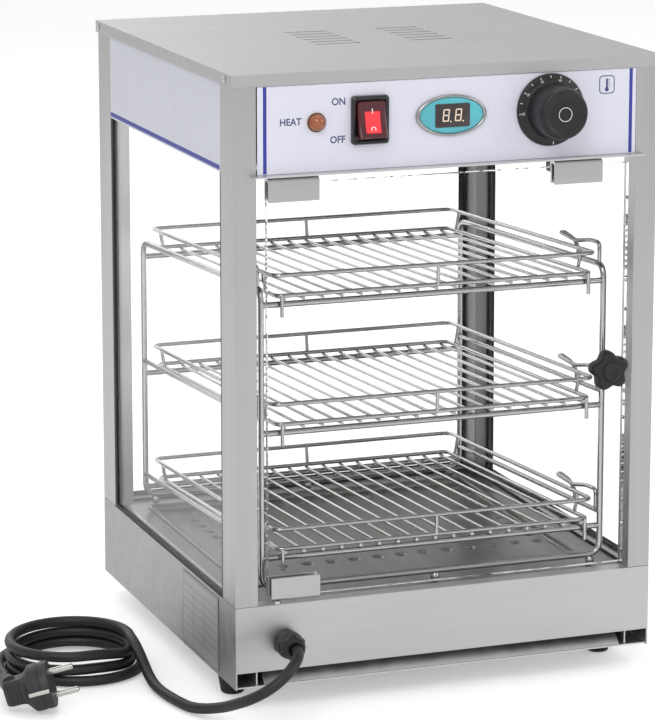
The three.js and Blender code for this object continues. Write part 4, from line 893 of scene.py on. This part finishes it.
# ------------------------------------------------------------------ rack and shelves in round wire
RACK_X, YF, YB, RAIL_Z, LEAN = 142.4, -147.5, 147.5, 91.0, 0.054
RODS = (114.3, 213.1, 313.5)
topF = 325.8
topB = topF - LEAN * (YB - YF)
rear = lambda z: z - LEAN * (YB - YF)
paths = []
paths.append(([(-RACK_X, YF, RAIL_Z), (RACK_X, YF, RAIL_Z), (RACK_X, YF, topF), (RACK_X, YB, topB), (RACK_X, YB, RAIL_Z), (-RACK_X, YB, RAIL_Z), (-RACK_X, YB, topB), (-RACK_X, YF, topF)], 2.5, True, 11))
for z in RODS:
    paths.append(([(-RACK_X, YF, z), (RACK_X, YF, z)], 2.36, False, 0))
    paths.append(([(-RACK_X, YB, rear(z)), (RACK_X, YB, rear(z))], 2.36, False, 0))
    for s in (-1, 1):
        if z < 300:
            paths.append(([(s * RACK_X, YF, z + 11), (s * RACK_X, YB, rear(z) + 11)], 2.0, False, 0))
        zr = z + 11 if z < 300 else topF
        q = lambda y, dx, dz, s=s, zr=zr: (s * (RACK_X + dx), y, zr - LEAN * (y - YF) + dz)
        paths.append(([q(-139.5, 0, -1), q(-139.5, 0, 16.8), q(-120.5, 0, 16.8), q(-102.5, -3, 14), q(-74.5, -4.6, 17.4), q(-72.5, -1, 17.4), q(-88.5, 0.4, 14.2), q(-99.5, 0, 8), q(-99.5, 0, -1)], 1.7, False, 5))
wires("rack_wire", paths, CHROME, "cabinet", ("rack",))
bm = bmesh.new()
for x in (-134, 1.2, 134):
    for y in (YF, YB):
        prof = [(0, 0), (1.6, 0.15), (2.9, 1.0), (3.6, 2.4), (3.7, 3.7), (3.4, 5.2), (2.6, 6.4), (1.2, 7.1), (0, 7.2)]
        lathe(bm, prof, V(x, y, DECK_Z + 0.3), (0, 0, 1), 24)
finish_mesh(bm, "rack_feet", CHROME, replaces=("rack",), smooth=60)

def shelf(zrod, body, node):
    SXH, SYF, SYB = 133.9, -151.0, 151.0
    rr, fr = 1.7, 1.3
    slope = lambda y: -LEAN * (y - YF)
    zFloor = zrod + 2.5 + 0.3 + fr + 0.05
    zLow = zFloor + fr + rr - 0.35
    zTop = zLow + 16
    P = lambda x, y, z: (x, y, z + slope(y))
    lx, y0, y1 = SXH - 3.2, SYF + 1.2, SYB - 3.2
    paths = []
    ring = lambda hx, a, b, z: [P(-hx, a, z), P(hx, a, z), P(hx, b, z), P(-hx, b, z)]
    paths.append((ring(SXH, SYF, SYB, zTop), rr, True, 9))
    paths.append((ring(lx, y0, y1, zLow), rr, True, 7))
    for i in range(17):
        x = -lx + 6 + i * (2 * lx - 12) / 16
        paths.append(([P(x, y0 - 1.4, zFloor), P(x, y1 + 0.6, zFloor)], fr, False, 0))
    for x in (-1, 1):
        for yy in (SYF + 26, SYB - 22):
            paths.append(([P(x * (lx - 0.2), yy, zLow), P(x * (SXH - 0.6), yy, zTop)], 1.5, False, 0))
    paths.append(([P(1.2, y0 - 0.2, zLow), P(1.2, SYF + 0.2, zTop)], 1.5, False, 0))
    paths.append(([P(1.2, y1 + 0.2, zLow), P(1.2, SYB - 0.2, zTop)], 1.5, False, 0))
    for x in (-127.2, 127.2):
        paths.append(([P(x, y0 - 2.4, zLow + 0.5), (x, y0 - 2.9, zLow - 16 + slope(y0))], 1.6, False, 0))
    wires(node.replace("shelf", "basket"), paths, CHROME, body, (node,), 3)
shelf(RODS[0], "lower_shelf", "shelf_lower")
shelf(RODS[1], "middle_shelf", "shelf_middle")
shelf(RODS[2], "upper_shelf", "shelf_upper")

# ------------------------------------------------------------------ perforated tray
bm = bmesh.new()
holes = [(7.6 + (i - 6) * 20, y) for i in range(13) for y in (-56.5, 119.9)] + [(x, -56.5 + j * 19.6) for j in range(1, 9) for x in (-113.4, 128.6)]
WX, WY0, WY1 = 139, -110.9, 138.6
zf = DECK_Z - 3.9
def plate_with_holes():
    """Flat floor cut in strips and cells, a round punched and dished hole in each cell."""
    xs0, xs1 = -WX + 1.6, WX - 1.6
    ys0, ys1 = WY0 + 1.6, WY1 - 1.6
    cell = 6.4
    boxes = [(hx - cell, hx + cell, hy - cell, hy + cell, hx, hy) for hx, hy in holes]
    xcuts = sorted({round(v, 3) for b in boxes for v in b[:2]} | {xs0, xs1})
    ycuts = sorted({round(v, 3) for b in boxes for v in b[2:4]} | {ys0, ys1})
    vid = {}
    def vert(x, y, z):
        k = (round(x, 3), round(y, 3), round(z, 3))
        if k not in vid:
            vid[k] = bm.verts.new(V(x, y, z))
        return vid[k]
    def inside(xa, xb, ya, yb):
        for b in boxes:
            if xa > b[0] - 1e-3 and xb < b[1] + 1e-3 and ya > b[2] - 1e-3 and yb < b[3] + 1e-3:
                return True
        return False
    for xa, xb in zip(xcuts[:-1], xcuts[1:]):
        for ya, yb in zip(ycuts[:-1], ycuts[1:]):
            if xb <= xs0 or xa >= xs1 or yb <= ys0 or ya >= ys1 or inside(xa, xb, ya, yb):
                continue
            bm.faces.new((vert(xa, ya, zf), vert(xb, ya, zf), vert(xb, yb, zf), vert(xa, yb, zf)))
    n = 24
    for b in boxes:
        hx, hy = b[4], b[5]
        sqr = []
        for k in range(n):
            a = 2 * math.pi * (k + 0.5) / n
            c, s = math.cos(a), math.sin(a)
            m_ = cell / max(abs(c), abs(s))
            sqr.append(vert(hx + c * m_, hy + s * m_, zf))
        prev = sqr
        for r, dz in ((5.0, -0.05), (4.2, -0.35), (3.6, -0.8), (3.3, -1.5), (3.25, -2.4)):
            cur = [bm.verts.new(V(hx + r * math.cos(2 * math.pi * (k + 0.5) / n), hy + r * math.sin(2 * math.pi * (k + 0.5) / n), zf + dz)) for k in range(n)]
            for k in range(n):
                l = (k + 1) % n
                bm.faces.new((prev[k], prev[l], cur[l], cur[k]))
            prev = cur
        corners = [(hx + cell, hy + cell), (hx - cell, hy + cell), (hx - cell, hy - cell), (hx + cell, hy - cell)]
        for cx, cy in corners:
            near = sorted(sqr, key=lambda v: (v.co - V(cx, cy, zf)).length)[:2]
            try:
                bm.faces.new((near[0], near[1], vert(cx, cy, zf)))
            except ValueError:
                pass
plate_with_holes()
# raised rolled rim round the tray
R = lambda e, z, r: [V(a, b, z) for a, b in rrect(-WX - e, WX + e, WY0 - e, WY1 + e, r, 5)]
rim = [R(-1.6, zf, 3.0), R(-1.0, zf + 0.4, 3.2), R(-0.7, zf + 1.4, 3.4), R(-0.6, zf + 3.9, 3.6), R(0.2, zf + 4.7, 4.2), R(1.6, zf + 4.95, 5), R(3.6, zf + 4.9, 5.6), R(4.6, zf + 4.7, 6.2), R(5.0, zf + 4.1, 6.6), R(5.0, zf + 3.95, 6.6)]
loft(bm, rim, close_ends=False)
finish_mesh(bm, "tray_plate", STEEL_DARK, replaces=("perforated_tray",), smooth=40)

# ------------------------------------------------------------------ feet
for (sx, sn) in ((-1, "left"), (1, "right")):
    for fx, y, yn in ((156.5, -117.0, "front"), (105.0, 135.0, "rear")):
        bm = bmesh.new()
        prof = [(0, 0.6), (5.6, 0.6), (6.0, 0.0), (7.8, 0.0), (8.7, 0.5), (9.3, 1.6), (9.9, 5.0), (11.0, 11.5), (11.7, 15.4), (11.8, 17.2), (11.5, 18.6), (10.8, 19.6), (9.6, 20.2), (0, 20.3)]
        lathe(bm, prof, V(sx * fx, y, 0), (0, 0, 1), 40)
        finish_mesh(bm, f"foot_pad_{yn}_{sn}", RUBBER, replaces=(f"foot_{yn}_{sn}",), smooth=40)

# ------------------------------------------------------------------ cable gland
GX, GZ, FY, QY = -132.6, 55.0, -176.2, -175.5
bm = bmesh.new()
def hexloop(r, y, rnd=2.0, n=4, rot=0.5):
    pts = []
    for i in range(6):
        a0 = (i + rot) * math.pi / 3
        for k in range(n + 1):
            a = a0 - math.pi / 6 + (math.pi / 3) * k / n
            # flats with rounded corners
            d = abs(((a - a0 + math.pi / 6) % (math.pi / 3)) - math.pi / 6)
            rr = min(r * math.cos(math.pi / 6) / max(0.2, math.cos(math.pi / 6 - d)), r * 0.955)
            pts.append(V(GX + rr * math.cos(a), y, GZ + rr * math.sin(a)))
    return pts
loft(bm, [hexloop(10.8, QY - 0.3), hexloop(11.4, QY - 0.9), hexloop(11.4, FY - 4.2), hexloop(10.8, FY - 5.0)])
finish_mesh(bm, "gland_body", BLACK, replaces=("cable_gland",), smooth=35)
bm = bmesh.new()
def nutloop(r, y, ribs=0.0, n=96):
    return [V(GX + (r + ribs * math.cos(24 * 2 * math.pi * k / n)) * math.cos(2 * math.pi * k / n), y, GZ + (r + ribs * math.cos(24 * 2 * math.pi * k / n)) * math.sin(2 * math.pi * k / n)) for k in range(n)]
def nuthex(r, y, n=96):
    out = []
    for k in range(n):
        a = 2 * math.pi * k / n
        d = abs((a % (math.pi / 3)) - math.pi / 6)
        rr = min(r * math.cos(math.pi / 6) / math.cos(math.pi / 6 - d), r * 0.965)
        out.append(V(GX + rr * math.cos(a), y, GZ + rr * math.sin(a)))
    return out
loft(bm, [nutloop(9.9, FY - 5.4), nutloop(10.6, FY - 5.9, 0.10), nutloop(10.7, FY - 10.2, 0.12), nutloop(10.6, FY - 11.0, 0.0), nuthex(11.1, FY - 11.4), nuthex(11.1, FY - 16.0), nuthex(10.6, FY - 17.2),
          nutloop(9.0, FY - 19.0), nutloop(7.9, FY - 21.0), nutloop(7.0, FY - 22.0), nutloop(5.6, FY - 22.0), nutloop(4.7, FY - 21.4), nutloop(4.5, FY - 18.0)], close_ends=False)
finish_mesh(bm, "gland_cap", BLACK, replaces=("gland_nut",), smooth=30)

# ------------------------------------------------------------------ plug
bm = bmesh.new()
AX = Vector((0.907, -0.333, 0.259)).normalized()
UP = Vector((-0.243, 0.089, 0.966)); UP = (UP - AX * UP.dot(AX)).normalized()
SD = AX.cross(UP).normalized()      # sideways, towards the viewer's left front
FC = Vector((-302.0, -115.7, 22.5))
def pl(d, a, b):
    """d along the pins from the pin face, a sideways, b up across the face, in mm."""
    p = FC + AX * d + SD * a + UP * b
    return V(p.x, p.y, p.z)
def drum(d, r, n=64):
    return [pl(d, r * math.cos(2 * math.pi * k / n), r * math.sin(2 * math.pi * k / n)) for k in range(n)]
def grip(d, ha, b0, b1, e=0.32, n=64):
    """Rounded square section of the grip; e sets how square the corners are."""
    out = []
    for k in range(n):
        t = 2 * math.pi * k / n
        c, s_ = math.cos(t), math.sin(t)
        out.append(pl(d, math.copysign(abs(c) ** e, c) * ha, (b0 + b1) / 2 + math.copysign(abs(s_) ** e, s_) * (b1 - b0) / 2))
    return out
loft(bm, [drum(0.0, 15.4), drum(-0.2, 15.6), drum(-0.25, 17.4), drum(-0.6, 18.2), drum(-1.6, 18.5), drum(-6.5, 18.5), drum(-7.0, 18.0), drum(-7.8, 18.0), drum(-8.3, 18.5), drum(-14.6, 18.4),
          drum(-16.0, 17.9), grip(-17.6, 15.2, -15.2, 15.6, 0.8), grip(-19.4, 11.6, -12.2, 13.6, 0.5), grip(-21.0, 9.6, -9.8, 12.2), grip(-24.0, 8.8, -9.0, 11.8), grip(-33.0, 8.8, -8.8, 11.8),
          grip(-35.8, 8.2, -8.2, 11.2), grip(-36.8, 7.0, -7.0, 10.0), grip(-37.1, 5.0, -5.0, 8.0)])
# ribs across the grip's side faces for the fingers
for d_ in (-24.4, -27.4, -30.4, -33.2):
    for sg in (-1, 1):
        prism(bm, [(-6.2, d_), (8.6, d_), (8.6, d_ - 1.1), (-6.2, d_ - 1.1)], lambda b, d, a, sg=sg: pl(d, sg * a, b), 8.4, 9.35, 0, 0.2, 2)
# tapered sleeve where the cord goes in
def sleeve(c0, c1, prof, n=40):
    p0, p1 = pl(*c0), pl(*c1)
    ax = (p1 - p0).normalized()
    _, u, v = basis(ax)
    L = (p1 - p0).length
    rows = []
    for f, r in prof:
        c = p0 + ax * (L * f)
        rows.append([c + (u * math.cos(2 * math.pi * k / n) + v * math.sin(2 * math.pi * k / n)) * (r / 1000.0) for k in range(n)])
    loft(bm, rows)
sleeve((-31, 2, 8), (-40, -29, 3.5), [(0.0, 6.4), (0.30, 6.6), (0.36, 6.7), (0.38, 6.1), (0.43, 6.1), (0.45, 6.5), (0.51, 6.4), (0.53, 5.8), (0.58, 5.8), (0.60, 6.1), (0.66, 6.0), (0.68, 5.5), (0.73, 5.45), (0.75, 5.75),
                                      (0.81, 5.6), (0.83, 5.2), (0.88, 5.15), (0.90, 5.3), (0.98, 5.1), (1.0, 4.8)])
finish_mesh(bm, "plug_shell", PLUG, replaces=("plug_body",), smooth=38)
bm = bmesh.new()
for s in (-1, 1):
    prism(bm, [(-17.0, -1.6), (-0.8, -1.6), (-0.8, 1.6), (-17.0, 1.6)], lambda d, b, a, s=s: pl(d, s * a, b), 17.6, 18.95, 0, 0.3, 2)
finish_mesh(bm, "plug_earth_strips", NICKEL, smooth=35)

# ------------------------------------------------------------------ floor, light, background
def floor_mat():
    m, nt, b, _ = material("studio_floor")
    n = noise(nt, coords(nt), 3.0, 3, 0.5)
    nt.links.new(mix(nt, remap(nt, n, 0, 1), (0.95, 0.95, 0.95), (0.97, 0.97, 0.97)), b.inputs["Base Color"])
    b.inputs["Roughness"].default_value = 0.8
    b.inputs["Specular IOR Level"].default_value = 0.1
    b.inputs["Emission Color"].default_value = (1, 1, 1, 1)
    lpf = nt.nodes.new("ShaderNodeLightPath")
    seen = math_node(nt, "MAXIMUM", lpf.outputs["Is Camera Ray"], lpf.outputs["Is Transmission Ray"])
    nt.links.new(math_node(nt, "MULTIPLY", seen, 0.34), b.inputs["Emission Strength"])
    return m
me = bpy.data.meshes.new("studio_floor")
me.from_pydata([(-12, -12, -0.0006), (12, -12, -0.0006), (12, 12, -0.0006), (-12, 12, -0.0006)], [], [(0, 1, 2, 3)])
fl = bpy.data.objects.new("studio_floor", me)
scene.collection.objects.link(fl)
me.materials.append(floor_mat())

world = bpy.data.worlds.new("studio")
scene.world = world
world.use_nodes = True
wn = world.node_tree
wn.nodes.clear()
wo = wn.nodes.new("ShaderNodeOutputWorld")
bg = wn.nodes.new("ShaderNodeBackground")
tc = wn.nodes.new("ShaderNodeTexCoord")
sep = wn.nodes.new("ShaderNodeSeparateXYZ")
wn.links.new(tc.outputs["Generated"], sep.inputs[0])
mr = wn.nodes.new("ShaderNodeMapRange")
mr.inputs["From Min"].default_value = -0.2
mr.inputs["From Max"].default_value = 0.9
mr.inputs["To Min"].default_value = 0.0
mr.inputs["To Max"].default_value = 1.0
wn.links.new(sep.outputs["Z"], mr.inputs["Value"])
mxw = wn.nodes.new("ShaderNodeMix")
mxw.data_type = "RGBA"
wn.links.new(mr.outputs[0], mxw.inputs[0])
mxw.inputs[6].default_value = (1.0, 1.0, 1.0, 1)
mxw.inputs[7].default_value = (0.72, 0.72, 0.73, 1)
wn.links.new(mxw.outputs[2], bg.inputs["Color"])
bg.inputs["Strength"].default_value = 0.78
bg2 = wn.nodes.new("ShaderNodeBackground")
bg2.inputs["Color"].default_value = (1, 1, 1, 1)
bg2.inputs["Strength"].default_value = 1.0
lpw = wn.nodes.new("ShaderNodeLightPath")
msw = wn.nodes.new("ShaderNodeMixShader")
wn.links.new(lpw.outputs["Is Camera Ray"], msw.inputs[0])
wn.links.new(bg.outputs[0], msw.inputs[1])
wn.links.new(bg2.outputs[0], msw.inputs[2])
wn.links.new(msw.outputs[0], wo.inputs["Surface"])

def area(name, loc, target, size, size_y, power, color=(1, 1, 1)):
    l = bpy.data.lights.new(name, "AREA")
    l.shape = "RECTANGLE"
    l.size, l.size_y = size, size_y
    l.energy = power
    l.color = color
    o = bpy.data.objects.new(name, l)
    scene.collection.objects.link(o)
    o.location = loc
    d = Vector(target) - Vector(loc)
    o.rotation_euler = d.to_track_quat("-Z", "Y").to_euler()
    return o
area("key", (-1.3, -2.3, 2.4), (0, 0, 0.25), 1.6, 1.6, 28)
area("fill", (2.4, -1.6, 1.5), (0, 0, 0.25), 1.6, 1.8, 12)
area("top", (0.2, 0.3, 3.0), (0, 0, 0.4), 2.0, 2.0, 16)
area("back", (-0.4, 2.8, 1.6), (0, 0, 0.3), 2.4, 1.6, 14)
